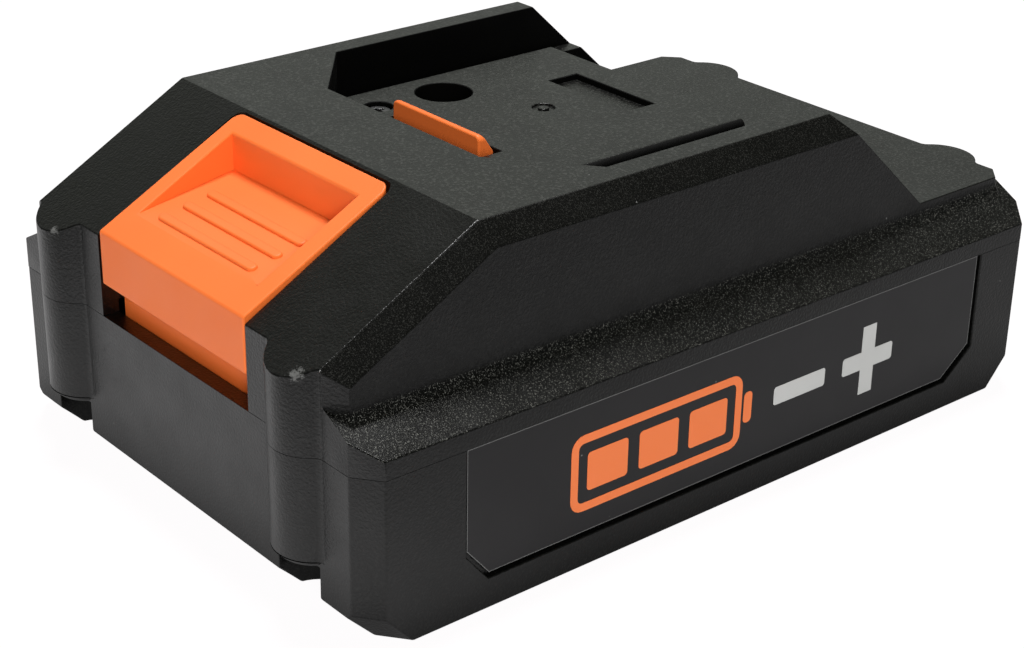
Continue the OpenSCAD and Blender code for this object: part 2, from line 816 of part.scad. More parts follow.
module upper_cavity() {
    shoulder_in = deck_t / cos(shoulder_angle);
    front_in = deck_t / cos(front_angle);
    rear_in = deck_t / sin(rear_angle) - deck_t / tan(rear_angle);
    in_hw = hw - wall;
    in_upper = upper_hw - wall;
    intersection() {
        along_y(2 * (hl - wall))
            polygon([
                [-in_hw, seam_z - 1], [in_hw, seam_z - 1], [in_hw, shoulder_at(in_hw) - shoulder_in],
                [in_upper, shoulder_at(in_upper) - shoulder_in], [in_upper, deck_under - strip_drop],
                [deck_hw - wall, deck_under], [-deck_hw + wall, deck_under],
                [-in_upper, deck_under - strip_drop], [-in_upper, shoulder_at(in_upper) - shoulder_in],
                [-in_hw, shoulder_at(in_hw) - shoulder_in]]);
        along_x(reach)
            polygon([
                [-hl, seam_z - 1], [hl, seam_z - 1], [hl, shelf_under], [shelf_front - rear_in, shelf_under],
                [deck_rear - rear_in, deck_under], [deck_front, deck_under],
                [deck_front, slope_z(deck_front) - front_in - slope_strip_drop],
                [-hl, slope_z(-hl) - front_in - slope_strip_drop]]);
    }
}

// Outline of the recess, grown by a wall or drawn in by a ledge, open at the rear
module recess_plan(grow, nose) {
    polygon([
        [-recess_nose_w / 2 - grow, recess_front - nose], [recess_nose_w / 2 + grow, recess_front - nose],
        [recess_hw + grow, recess_front + recess_corner_l - nose], [recess_hw + grow, recess_back],
        [-recess_hw - grow, recess_back], [-recess_hw - grow, recess_front + recess_corner_l - nose]]);
}

module recess() {
    translate([0, 0, shelf_z])
        linear_extrude(height = reach)
            recess_plan(-ledge_w, 0);
    translate([0, 0, ledge_z])
        linear_extrude(height = reach)
            recess_plan(0, 0);
}

// Walls and floor of the recess and of the button slot, before they are cut out
module inner_walls() {
    translate([0, 0, shelf_under])
        linear_extrude(height = deck_z - shelf_under)
            recess_plan(wall, wall);
    block(-slot_hw - latch_t, slot_hw + latch_t, -hl, slot_back + latch_t, spring_shelf_z, deck_z);
}

module spring_shelf() {
    block(-slot_hw - eps, slot_hw + eps, skirt_back + button_play, scoop_back, spring_shelf_z, spring_z);
    for (s = [-1, 1])
        rod(s * spring_x, spring_y, spring_z - eps, spring_z + spring_post_h, spring_post_r);
}

// Terminal window, latch openings and screw holes in the upper housing
module upper_openings() {
    arm_hw = tongue_hw + 2 * tongue_play;
    translate([0, 0, seam_z - 1])
        linear_extrude(height = reach)
            round_back_plan(slot_hw, -hl - column_r, slot_back, button_r);
    block(-arm_hw, arm_hw, slot_back - 1, slot_back + latch_t + 1, seam_z, plate_z);
    block(-arm_hw, arm_hw, recess_front - wall - 1, recess_front + 1, shelf_z, plate_z);
    block(-block_hw - cover_play, block_hw + cover_play, block_front - cover_play, block_rear + cover_play,
        shelf_under - 1, shelf_z + 1);
    rod(well_x, well_y, shelf_under - part_room, shelf_z + 1, screw_r + screw_play);
    rod(pocket_x, pocket_y, shelf_under + tip_room, shelf_z + 1, small_screw_r + screw_play);
    at_columns()
        rod(0, 0, seam_z - 1, seam_z + thread_l + tip_room, screw_r + screw_play);
}

module upper_housing() {
    color("#303032") {
        difference() {
            union() {
                difference() {
                    upper_outside();
                    upper_cavity();
                }
                intersection() {
                    upper_outside();
                    union() {
                        inner_walls();
                        columns(seam_z, deck_z);
                    }
                }
                rod(well_x, well_y, board_top + tip_room, shelf_under + eps, screw_r + well_wall);
            }
            recess();
            upper_openings();
        }
        spring_shelf();
    }
}

// Rounded top plate of the rail cover, seen from its end
module plate_profile() {
    r = cover_edge_r;
    translate([-cover_hw, plate_z])
        square([2 * cover_hw, cover_t - r]);
    translate([-cover_hw + r, plate_z])
        square([2 * (cover_hw - r), cover_t]);
    for (s = [-1, 1])
        translate([s * (cover_hw - r), cover_z - r])
            circle(r);
}

module plate_plan() {
    corner_run = (cover_hw - recess_nose_w / 2) * recess_corner_l / (recess_hw - recess_nose_w / 2);
    front = recess_front + cover_play;
    polygon([
        [-recess_nose_w / 2 + cover_play, front], [recess_nose_w / 2 - cover_play, front],
        [cover_hw, front + corner_run + cover_play], [cover_hw, cover_rear],
        [-cover_hw, cover_rear], [-cover_hw, front + corner_run + cover_play]]);
}

module cover_openings() {
    tongue_slot = tongue_hw + tongue_play;
    block(-neck_in, neck_in, neck_front - 1, cover_rear - cover_wall, shelf_z - 1, plate_z);
    block(-tongue_slot, tongue_slot, tongue_y - tongue_play, tongue_y + tongue_t + 2 * tongue_play,
        plate_z - 1, cover_z + 1);
    block(-field_l / 2, field_l / 2, cover_rear - field_set - field_w, cover_rear - field_set,
        cover_z - field_depth, cover_z + 1);
    translate([0, cover_rear - field_set - field_w - gate_set, cover_z - gate_depth])
        difference() {
            cylinder(h = 2 * gate_depth, r = gate_r);
            translate([0, 0, -gate_depth])
                cylinder(h = 4 * gate_depth, r = gate_r / 2);
        }
    for (i = [-1.5, -0.5, 0.5, 1.5])
        block(i * term_pitch - leaf_gap / 2 - cover_play, i * term_pitch + leaf_gap / 2 + cover_play,
            cover_rear - cover_wall - 1, cover_rear + 1, leaf_z - cover_play, leaf_z + leaf_h + cover_play);
}

module rail_cover() {
    color("#343638")
        difference() {
            union() {
                difference() {
                    union() {
                        intersection() {
                            along_y(reach)
                                plate_profile();
                            linear_extrude(height = reach)
                                plate_plan();
                        }
                        block(-neck_hw, neck_hw, neck_front, cover_rear, shelf_z, plate_z + eps);
                    }
                    cover_openings();
                }
                rod(well_x, well_y, shelf_z, plate_z + eps, well_r + well_wall);
                rod(pocket_x, pocket_y, shelf_z, plate_z + eps, pocket_r + well_wall);
            }
            rod(well_x, well_y, well_floor, cover_z + 1, well_r);
            rod(well_x, well_y, shelf_z - 1, well_floor + 1, screw_r + screw_play);
            rod(pocket_x, pocket_y, pocket_floor, cover_z + 1, pocket_r);
            rod(pocket_x, pocket_y, shelf_z - 1, pocket_floor + 1, small_screw_r + screw_play);
        }
}

module rail_cover_screw() {
    color("#8f9194")
        difference() {
            union() {
                rod(well_x, well_y, well_floor, well_floor + well_head_h, well_r - well_head_play);
                rod(well_x, well_y, board_top + 2 * tip_room, well_floor + eps, screw_r);
            }
            translate([well_x, well_y, well_floor + well_head_h - drive_depth])
                cylinder(h = 2 * drive_depth, r = drive_r, $fn = 6);
        }
}

module rail_cover_small_screw() {
    color("#b9bcc0")
        difference() {
            union() {
                rod(pocket_x, pocket_y, pocket_floor, pocket_floor + small_head_h, pocket_r - head_play);
                rod(pocket_x, pocket_y, shelf_under + 2 * tip_room, pocket_floor + eps, small_screw_r);
            }
            translate([pocket_x, pocket_y, pocket_floor + small_head_h]) {
                cube([cross_l, cross_w, small_head_h], center = true);
                cube([cross_w, cross_l, small_head_h], center = true);
            }
        }
}

// Thumb button: lip, scooped top, side walls and skirt
module latch_button() {
    difference() {
        intersection() {
            along_x(2 * button_hw)
                polygon([
                    [-hl, lip_z], [-hl, button_z(-hl)], [button_back, button_z(button_back)],
                    [button_back, side_z], [skirt_back, side_z], [skirt_back, lip_z]]);
            linear_extrude(height = reach)
                round_back_plan(button_hw, -hl - 1, button_back, button_r);
        }
        along_x(2 * (button_hw - latch_t))
            polygon([
                [skirt_back, 0], [skirt_back, scoop_z(skirt_back) - latch_t],
                [button_back - latch_t, scoop_z(button_back - latch_t) - latch_t],
                [button_back - latch_t, 0]]);
        along_x(2 * scoop_hw)
            polygon([
                [scoop_front, scoop_z(scoop_front)], [scoop_back, scoop_z(scoop_back)],
                [scoop_back, reach], [scoop_front, reach]]);
    }
    block(-button_hw, button_hw, skirt_y, skirt_back, skirt_z, lip_z + 1);
    for (s = [-1, 1])
        rod(s * spring_x, spring_y, spring_top, scoop_z(spring_y) - latch_t / 2, spring_seat_r);
}

module grip_bars() {
    middle = scoop_front + bar_set;
    for (i = [-1, 0, 1])
        translate([0, middle + i * bar_pitch, scoop_z(middle + i * bar_pitch)])
            rotate([scoop_angle, 0, 0])
                translate([0, 0, -bar_h])
                    linear_extrude(height = 2 * bar_h) {
                        square([bar_l - bar_w, bar_w], center = true);
                        for (s = [-1, 1])
                            translate([s * (bar_l - bar_w) / 2, 0])
                                circle(bar_w / 2);
                    }
}

// Arm under the deck, its stop below the deck, and the ramped tongue
module latch_arm() {
    block(-tongue_hw, tongue_hw, button_back - latch_t / 2, tongue_y + tongue_t, arm_z, arm_top);
    block(-tongue_hw, tongue_hw, slot_back + latch_t + stop_room, recess_front - wall - stop_room,
        arm_z, stop_top);
    intersection() {
        along_x(tongue_w)
            polygon([
                [tongue_y, arm_z], [tongue_y, tongue_z], [tongue_y + tongue_top, tongue_z],
                [tongue_y + tongue_t, cover_z], [tongue_y + tongue_t, arm_z]]);
        along_y(reach) {
            translate([-tongue_hw, arm_z])
                square([tongue_w, tongue_z - arm_z - tongue_r]);
            translate([-tongue_hw + tongue_r, arm_z])
                square([tongue_w - 2 * tongue_r, tongue_z - arm_z]);
            for (s = [-1, 1])
                translate([s * (tongue_hw - tongue_r), tongue_z - tongue_r])
                    circle(tongue_r);
        }
    }
}

module release_latch() {
    color("#f0672a") {
        latch_button();
        grip_bars();
        latch_arm();
    }
}

// One open coil spring, swept as a tube of flat sides along a helix
module coil(r, wire, turns, z0, z1) {
    steps = ceil(turns * spring_rings);
    rise = z1 - z0 - wire;
    middle = [for (i = [0:steps]) [
        r * cos(360 * turns * i / steps), r * sin(360 * turns * i / steps),
        z0 + wire / 2 + rise * i / steps]];
    gaps = [for (i = [0:steps - spring_rings]) norm(middle[i + spring_rings] - middle[i]) - wire];
    echo(str("least gap between spring turns: ", min(gaps)));
    points = [for (i = [0:steps]) for (k = [0:spring_sides - 1])
        let (a = 360 * turns * i / steps, b = 360 * k / spring_sides)
            [middle[i].x + wire / 2 * cos(b) * cos(a), middle[i].y + wire / 2 * cos(b) * sin(a),
                middle[i].z + wire / 2 * sin(b)]];
    sides = [for (i = [0:steps - 1]) for (k = [0:spring_sides - 1])
        let (a = i * spring_sides + k, b = i * spring_sides + (k + 1) % spring_sides)
            each [[a, b, a + spring_sides], [b, b + spring_sides, a + spring_sides]]];
    last = steps * spring_sides;
    ends = [for (k = [1:spring_sides - 2]) each [[0, k + 1, k], [last, last + k, last + k + 1]]];
    polyhedron(points, concat(sides, ends));
}

module release_springs() {
    end_gap = 0.1;
    color("#b4b6ba")
        for (s = [-1, 1])
            translate([s * spring_x, spring_y, 0])
                coil(spring_r, spring_wire, spring_turns, spring_z + end_gap, spring_top - end_gap);
}

// One cell lying across the pack, with its raised positive button
module cell(n) {
    flip = n % 2 == 0 ? 180 : 0;
    color("#2f6f4f")
        translate([0, cell_y(n), cell_z])
            rotate([0, 90, flip])
                union() {
                    translate([0, 0, -cell_x])
                        cylinder(h = cell_l - cell_button_l, r = cell_d / 2);
                    translate([0, 0, cell_x - cell_button_l - eps])
                        cylinder(h = cell_button_l + eps, r = cell_d / 2 - cell_button_step);
                }
}

// Right-hand holder: a block with one bore for each cell and seats for the board
module cell_holder() {
    access = access_r + access_wall + end_play;
    color("#4a4d50")
        difference() {
            union() {
                block(cell_x - holder_depth, cell_x, -holder_hl, holder_hl, holder_z, holder_top);
                for (s = [-1, 1])
                    rod(seat_x, s * seat_y, holder_top - eps, board_z, seat_r);
            }
            for (n = cell_numbers)
                translate([0, cell_y(n), cell_z])
                    rotate([0, 90, 0])
                        cylinder(h = reach, r = bore_r, center = true);
            at_columns()
                rod(0, 0, 0, column_z + column_chamfer + end_play, access);
            for (s = [-1, 1])
                rod(seat_x, s * seat_y, board_z - board_thread - tip_room, board_z + 1,
                    board_screw_r + screw_play);
        }
}

module cell_holder_right() {
    cell_holder();
}

module cell_holder_left() {
    mirror([1, 0, 0])
        cell_holder();
}

// One strap across the ends of cells a to b, with a tab that bends over onto the board's underside
module strap(a, b) {
    tab_y = max((cell_y(a) + cell_y(b)) / 2, board_front);
    y0 = cell_y(a) - strap_h / 2;
    y1 = max(cell_y(b) + strap_h / 2, tab_y + tab_w / 2);
    tab_in = board_hw - tab_lap;
    block(cell_x, cell_x + strap_t, y0, y1, cell_z - strap_h / 2, cell_z + strap_h / 2);
    block(cell_x, cell_x + strap_t, tab_y - tab_w / 2, tab_y + tab_w / 2, cell_z, board_z);
    block(tab_in, cell_x + strap_t, tab_y - tab_w / 2, tab_y + tab_w / 2, board_z - strap_t, board_z);
}

module straps_right() {
    color("#c9ccd0") {
        strap(1, 2);
        strap(3, 4);
        strap(5, 5);
    }
}

module straps_left() {
    color("#c9ccd0")
        mirror([1, 0, 0]) {
            strap(1, 1);
            strap(2, 3);
            strap(4, 5);
        }
}

module insulation_sheet() {
    color("#d8cfb4")
        block(sheet_x, sheet_x + sheet_t, -holder_hl, holder_hl, holder_z, holder_top - sheet_drop);
}

module insulation_right() {
    insulation_sheet();
}

module insulation_left() {
    mirror([1, 0, 0])
        insulation_sheet();
}

module base_pad() {
    color("#5b5b5e")
        block(-cell_x, cell_x, -holder_hl + pad_inset, holder_hl - pad_inset, floor_t, holder_z);
}

module circuit_board() {
    color("#1f5a3a")
        difference() {
            block(-board_hw, board_hw, board_front, board_back, board_z, board_top);
            for (sx = [-1, 1])
                for (sy = [-1, 1])
                    rod(sx * seat_x, sy * seat_y, board_z - 1, board_top + 1, board_screw_r + screw_play);
        }
}

module board_screws() {
    color("#a9acb0")
        for (sx = [-1, 1])
            for (sy = [-1, 1]) {
                rod(sx * seat_x, sy * seat_y, board_top, board_top + board_head_h, board_head_r);
                rod(sx * seat_x, sy * seat_y, board_z - board_thread, board_top + eps, board_screw_r);
            }
}

module power_transistors() {
    color("#26282b")
        for (i = [-1.5, -0.5, 0.5, 1.5])
            translate([i * transistor_pitch - transistor_w / 2, board_front + transistor_set, board_top])
                cube([transistor_w, transistor_l, transistor_h]);
}

module controller_chip() {
    color("#1d1f21")
        translate([chip_x, well_y - chip_w / 2, board_top])
            cube([chip_w, chip_w, chip_h]);
}

module sense_resistor() {
    color("#6b6f72")
        translate([chip_x, pocket_y, board_top])
            cube([resistor_l, resistor_w, resistor_h]);
}

module capacitors() {
    color("#8b8e92")
        for (i = [0, 1, 2])
            rod(-board_hw + can_set, block_front + (i - 1) * can_pitch, board_top, board_top + can_h, can_r);
}

// Temperature bead in the valley between two cells, with its leads to the board
module thermistor() {
    color("#3b3d40") {
        translate([0, bead_y, bead_z])
            sphere(bead_r);
        for (s = [-1, 1])
            rod(s * bead_r / 2, bead_y, bead_z, board_z, lead_r);
    }
}

// Moulding that holds the spring terminals, open towards the rear
module terminal_block() {
    pocket_hw = leaf_gap / 2 + leaf_t + pocket_play;
    color("#55585b")
        difference() {
            block(-block_hw, block_hw, block_front, block_rear, board_top, block_top);
            for (i = [-1.5, -0.5, 0.5, 1.5])
                block(i * term_pitch - pocket_hw, i * term_pitch + pocket_hw,
                    block_rear - leaf_l - 2 * leaf_t, block_rear + 1,
                    board_top - 1, leaf_z + leaf_h + pocket_play);
        }
}

// One forked terminal: two leaves, the web that joins them and its foot on the board
module terminal(i) {
    fork = leaf_gap / 2 + leaf_t;
    y0 = block_rear - leaf_l - leaf_t;
    translate([i * term_pitch, 0, 0]) {
        for (s = [-1, 1])
            translate([s * (leaf_gap + leaf_t) / 2 - leaf_t / 2, y0, leaf_z])
                cube([leaf_t, leaf_l, leaf_h]);
        block(-fork, fork, y0, y0 + leaf_t, board_top, leaf_z + leaf_h);
    }
}

module power_terminals() {
    color("#c98f4a")
        for (i = [-1.5, 1.5])
            terminal(i);
}

module signal_terminals() {
    color("#c9a15a")
        for (i = [-0.5, 0.5])
            terminal(i);
}

module label_right() {
    color("#3c3a42")
        label_field(hw - label_depth, hw - label_depth + label_t, label_slit, label_gap);
}

module label_left() {
    mirror([1, 0, 0])
        label_right();
}

module housing_screws() {
    head_z = column_z + screw_head_h + head_play;
    color("#9a9ca0")
        at_columns()
            difference() {
                union() {
                    rod(0, 0, head_z - screw_head_h, head_z, screw_head_r);
                    rod(0, 0, head_z - eps, seam_z + thread_l, screw_r);
                }
                translate([0, 0, head_z - screw_head_h - drive_depth])
                    cylinder(h = 2 * drive_depth, r = drive_r, $fn = 6);
            }
}

lower_housing();
upper_housing();
rail_cover();
release_latch();
release_springs();
cell(1);  // cell_1
cell(2);  // cell_2
cell(3);  // cell_3
cell(4);  // cell_4
cell(5);  // cell_5
cell_holder_left();
cell_holder_right();
straps_left();
straps_right();
insulation_left();
insulation_right();
base_pad();
circuit_board();
board_screws();
power_transistors();
controller_chip();
sense_resistor();
capacitors();
thermistor();
terminal_block();
power_terminals();
signal_terminals();
label_left();
label_right();
housing_screws();
rail_cover_screw();
rail_cover_small_screw();
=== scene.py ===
# %% [markdown]
# # A slide-on battery pack
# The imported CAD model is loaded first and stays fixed. Each piece is then remade as the real
# thing is made: moulded, stamped, wound or turned, on the place that the CAD gives it.

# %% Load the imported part
import math

import bmesh
import bpy
from mathutils import Matrix, Vector


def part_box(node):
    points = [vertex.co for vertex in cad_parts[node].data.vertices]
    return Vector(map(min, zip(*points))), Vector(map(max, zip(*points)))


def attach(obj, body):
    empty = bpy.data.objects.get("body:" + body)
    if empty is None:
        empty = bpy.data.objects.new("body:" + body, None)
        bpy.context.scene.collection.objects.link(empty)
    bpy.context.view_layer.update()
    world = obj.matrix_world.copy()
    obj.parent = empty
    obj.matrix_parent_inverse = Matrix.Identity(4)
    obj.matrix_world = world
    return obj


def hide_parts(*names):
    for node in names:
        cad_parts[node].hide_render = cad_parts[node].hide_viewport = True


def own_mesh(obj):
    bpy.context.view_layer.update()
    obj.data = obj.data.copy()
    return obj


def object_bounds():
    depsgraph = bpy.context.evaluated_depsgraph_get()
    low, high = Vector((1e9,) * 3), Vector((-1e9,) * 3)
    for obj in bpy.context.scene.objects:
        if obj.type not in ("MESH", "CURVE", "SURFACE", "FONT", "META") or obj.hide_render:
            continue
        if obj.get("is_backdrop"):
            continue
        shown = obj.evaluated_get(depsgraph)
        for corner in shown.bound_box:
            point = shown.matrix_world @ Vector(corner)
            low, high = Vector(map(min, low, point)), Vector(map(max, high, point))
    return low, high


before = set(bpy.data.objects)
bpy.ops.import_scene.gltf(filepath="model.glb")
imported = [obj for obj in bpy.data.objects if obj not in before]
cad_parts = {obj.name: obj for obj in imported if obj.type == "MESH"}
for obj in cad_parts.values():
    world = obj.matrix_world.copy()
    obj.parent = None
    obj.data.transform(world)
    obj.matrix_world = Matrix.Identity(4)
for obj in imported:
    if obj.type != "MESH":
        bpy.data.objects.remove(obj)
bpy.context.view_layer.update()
MM = 0.001

# %% [markdown]
# ## Camera
# The picture was taken from the front right, a little above the pack. A long lens keeps the
# lines nearly parallel. The camera could be turned by hand until the outline fits, but here its
# place and turn were solved from points of the pack, with its width held fixed.

# %% Camera
CAMERA_PLACE = Vector((0.19268, -0.16706, 0.13040))
AZIMUTH, ELEVATION, ROLL = (math.radians(v) for v in (49.736, 25.282, 0.989))
SENSOR_WIDTH, FOCAL_LENGTH, NEAREST = 36, 73.93, 0.01
back = Vector((
    math.sin(AZIMUTH) * math.cos(ELEVATION), -math.cos(AZIMUTH) * math.cos(ELEVATION),
    math.sin(ELEVATION)))
right = Vector((math.cos(AZIMUTH), math.sin(AZIMUTH), 0))
up = back.cross(right)
turned_right = right * math.cos(ROLL) + up * math.sin(ROLL)
turned_up = up * math.cos(ROLL) - right * math.sin(ROLL)
lens = bpy.data.cameras.new("photo_camera")
lens.sensor_fit = "HORIZONTAL"
lens.sensor_width = SENSOR_WIDTH
lens.lens = FOCAL_LENGTH
lens.clip_start = NEAREST
camera = bpy.data.objects.new("photo_camera", lens)
bpy.context.scene.collection.objects.link(camera)
camera.matrix_world = Matrix.Translation(CAMERA_PLACE) @ Matrix(
    (turned_right, turned_up, back)).transposed().to_4x4()
bpy.context.scene.camera = camera
print("camera at", [round(v, 3) for v in camera.matrix_world.translation])

# %% [markdown]
# ## Studio
# Black plastic shows mostly what it mirrors, so the surroundings matter more than its own colour.
# A pale backdrop stands behind the pack on the left, and the ceiling is dim. Level faces mirror
# the backdrop and look lighter than the slopes, which mirror the ceiling. One soft lamp overhead
# shapes the thumb scoop, and a weaker one from the front right lights the label.

# %% Node helpers
def node_tree(owner):
    owner.use_nodes = True
    owner.node_tree.nodes.clear()
    return owner.node_tree


def add_node(tree, kind, settings=None, **inputs):
    made = tree.nodes.new(kind)
    for name, value in (settings or {}).items():
        setattr(made, name, value)
    for name, value in inputs.items():
        socket = made.inputs[int(name[1:])] if name[0] == "_" else made.inputs[name]
        if isinstance(value, bpy.types.NodeSocket):
            tree.links.new(value, socket)
        else:
            socket.default_value = value
    return made


def maths(tree, operation, a, b):
    return add_node(tree, "ShaderNodeMath", {"operation": operation}, _0=a, _1=b).outputs[0]


def spread(tree, value, low, high, to_low, to_high):
    return add_node(tree, "ShaderNodeMapRange", _0=value, _1=low, _2=high, _3=to_low,
                    _4=to_high).outputs[0]


# %% Surroundings
world = bpy.data.worlds.new("studio")
bpy.context.scene.world = world
tree = node_tree(world)
direction = add_node(tree, "ShaderNodeTexCoord").outputs["Generated"]
height = add_node(tree, "ShaderNodeSeparateXYZ", _0=direction).outputs["Z"]
ramp = add_node(tree, "ShaderNodeValToRGB", Fac=height)
GLOW_BY_HEIGHT = (
    (0.15, (0.27, 0.285, 0.265)), (0.34, (0.5, 0.53, 0.48)), (0.48, (0.62, 0.65, 0.58)),
    (0.62, (0.42, 0.44, 0.365)), (0.78, (0.3, 0.315, 0.26)), (1.0, (0.5, 0.52, 0.43)))
stops = ramp.color_ramp.elements
stops[0].position, stops[1].position = GLOW_BY_HEIGHT[0][0], GLOW_BY_HEIGHT[-1][0]
for position, colour in GLOW_BY_HEIGHT[1:-1]:
    stops.new(position)
for stop, (position, colour) in zip(stops, GLOW_BY_HEIGHT):
    stop.color = (*colour, 1)
BACKDROP_SIDE, BACKDROP_EDGE, BACKDROP_FULL, ROOM_SHARE = (-0.87, 0.5, 0), 0.55, 0.95, 0.14
facing = add_node(tree, "ShaderNodeVectorMath", {"operation": "DOT_PRODUCT"}, _0=direction,
                  _1=BACKDROP_SIDE).outputs["Value"]
share = spread(tree, facing, BACKDROP_EDGE, BACKDROP_FULL, ROOM_SHARE, 1.0)
surround = add_node(tree, "ShaderNodeVectorMath", {"operation": "SCALE"}, _0=ramp.outputs["Color"],
                    Scale=share)
rays = add_node(tree, "ShaderNodeLightPath").outputs
seen = maths(tree, "MAXIMUM", rays["Is Camera Ray"], rays["Is Transmission Ray"])
shown = add_node(tree, "ShaderNodeMix", {"data_type": "RGBA"}, Factor=seen,
                 A=surround.outputs[0], B=(1, 1, 1, 1))
lit = add_node(tree, "ShaderNodeBackground", Color=shown.outputs[2], Strength=1.0)
tree.links.new(lit.outputs[0], add_node(tree, "ShaderNodeOutputWorld").inputs[0])
print("backdrop towards", BACKDROP_SIDE)

# %% [markdown]
# ## Floor and lamps
# The floor is a sheet of white paper. Camera rays see it almost fully white, so the picture gets
# a clean background while the pack's shadow stays faintly visible. Mirrored rays see painted light
# on the paper: brighter in front of the pack than beside it, and a painted shade close round the
# pack's foot. The weaker lamp is kept out of mirrored rays, because level faces would show it as a
# white patch from behind.

# %% Floor
FLOOR_HALF, FLOOR_DROP = 4000, 0.2
PLAIN_SHARE, MIRRORED_SHARE, PAPER_WHITE = 0.9, 0.9, 1.07
PAPER_LIT, PAPER_NEAR, PAPER_FAR, PAPER_BESIDE = 0.95, 0.4, 0.3, 0.21
FOOT_X, FOOT_Y, SHADE_REACH, SHADE = 36, 55, 12, 0.25
bm = bmesh.new()
bmesh.ops.create_grid(bm, x_segments=1, y_segments=1, size=FLOOR_HALF * MM)
bmesh.ops.translate(bm, verts=bm.verts, vec=(0, 0, -FLOOR_DROP * MM))
floor_mesh = bpy.data.meshes.new("floor")
bm.to_mesh(floor_mesh)
bm.free()
floor = bpy.data.objects.new("floor", floor_mesh)
bpy.context.scene.collection.objects.link(floor)
floor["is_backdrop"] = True
paper = bpy.data.materials.new("floor_paper")
tree = node_tree(paper)
rays = add_node(tree, "ShaderNodeLightPath").outputs
straight = maths(tree, "MAXIMUM", rays["Is Camera Ray"], rays["Is Transmission Ray"])
plain = maths(tree, "MULTIPLY", straight, PLAIN_SHARE)
place = add_node(tree, "ShaderNodeTexCoord").outputs["Object"]
along = add_node(tree, "ShaderNodeSeparateXYZ", _0=place).outputs
# Painted light for mirrored rays: the paper is brighter in front of the pack than beside it.
near_edge = spread(tree, along["Y"], -20 * MM, -70 * MM, PAPER_NEAR, PAPER_LIT)
far_edge = spread(tree, along["Y"], -130 * MM, -100 * MM, PAPER_FAR, PAPER_LIT)
right_edge = spread(tree, along["X"], 50 * MM, 100 * MM, PAPER_LIT, PAPER_BESIDE)
lit_front = maths(tree, "MINIMUM", near_edge, far_edge)
lit_side = maths(tree, "MINIMUM", lit_front, right_edge)
# Painted shade: the paper seen in mirrors darkens close round the pack's foot.
out_x = maths(tree, "SUBTRACT", maths(tree, "ABSOLUTE", along["X"], 0.0), FOOT_X * MM)
out_y = maths(tree, "SUBTRACT", maths(tree, "ABSOLUTE", along["Y"], 0.0), FOOT_Y * MM)
outside = maths(tree, "MAXIMUM", out_x, out_y)
painted_contact_shade = spread(tree, outside, 0.0, SHADE_REACH * MM, SHADE, 1.0)
painted_lit_paper = maths(tree, "MULTIPLY", lit_side, painted_contact_shade)
mirrored = rays["Is Glossy Ray"]
glow = add_node(tree, "ShaderNodeMix", {"data_type": "FLOAT"}, Factor=mirrored, A=PAPER_WHITE,
                B=painted_lit_paper)
share = maths(tree, "MAXIMUM", plain, maths(tree, "MULTIPLY", mirrored, MIRRORED_SHARE))
matt = add_node(tree, "ShaderNodeBsdfDiffuse", Color=(0.82, 0.82, 0.82, 1))
white = add_node(tree, "ShaderNodeEmission", Color=(1, 0.985, 0.99, 1), Strength=glow.outputs[0])
mixed = add_node(tree, "ShaderNodeMixShader", _0=share, _1=matt.outputs[0], _2=white.outputs[0])
tree.links.new(mixed.outputs[0], add_node(tree, "ShaderNodeOutputMaterial").inputs[0])
floor_mesh.materials.append(paper)
print("floor at", -FLOOR_DROP, "mm")

# %% Lamps
LAMP_SIZE, LAMP_TARGET = 0.25, Vector((0, 0, 0.02))


def soft_box(name, place, power):
    lamp = bpy.data.lights.new(name, "AREA")
    lamp.shape = "DISK"
    lamp.size = LAMP_SIZE
    lamp.energy = power
    made = bpy.data.objects.new(name, lamp)
    bpy.context.scene.collection.objects.link(made)
    turn = (LAMP_TARGET - Vector(place)).to_track_quat("-Z", "Y")
    made.matrix_world = Matrix.Translation(place) @ turn.to_matrix().to_4x4()
    return made


key = soft_box("key_lamp", (-0.12, 0.1, 0.95), 8.5)
fill = soft_box("fill_lamp", (0.72, -0.48, 0.36), 5.4)
fill.visible_glossy = False
print("lamps:", [(lamp.name, lamp.data.energy) for lamp in (key, fill)])

# %% [markdown]
# ## Black moulded plastic
# The shell is black plastic from a spark-eroded mould: an even grain on the large faces, and a
# coarser, sparkling one on the chamfers and shoulders. The sparkle is painted glints: small bright
# specks in the colour. An image of the grain would do, but noise on Object coordinates keeps its
# size on every piece and needs no unwrapping. Dust and scuffs are mixed into the colour by their
# place.

# %% Finish helpers
CLOUD_SCALE, GLOSS_SCALE, SWELL_SCALE, TEAR_SCALE, DUST_SCALE = 70, 180, 260, 2300, 210
DUST_FROM, DUST_GREY, SCUFF_GREY = 0.72, (0.3, 0.3, 0.29, 1), (0.16, 0.16, 0.155, 1)


def finish_tree(name):
    material = bpy.data.materials.new(name)
    tree = node_tree(material)
    place = add_node(tree, "ShaderNodeTexCoord").outputs["Object"]
    shader = add_node(tree, "ShaderNodeBsdfPrincipled")
    tree.links.new(shader.outputs[0], add_node(tree, "ShaderNodeOutputMaterial").inputs[0])
    return material, tree, place, shader


def noise(tree, place, scale, detail=2.0, rough=0.5):
    return add_node(tree, "ShaderNodeTexNoise", Vector=place, Scale=scale, Detail=detail,
                    Roughness=rough).outputs["Fac"]


def blend_colours(tree, share, a, b):
    return add_node(tree, "ShaderNodeMix", {"data_type": "RGBA"}, Factor=share, A=a, B=b).outputs[2]


def bump(tree, shader, height, strength, distance, under=None):
    made = add_node(
        tree, "ShaderNodeBump", Height=height, Strength=strength, Distance=distance * MM)
    if under is not None:
        tree.links.new(under.outputs[0], made.inputs["Normal"])
    tree.links.new(made.outputs[0], shader.inputs["Normal"])
    return made


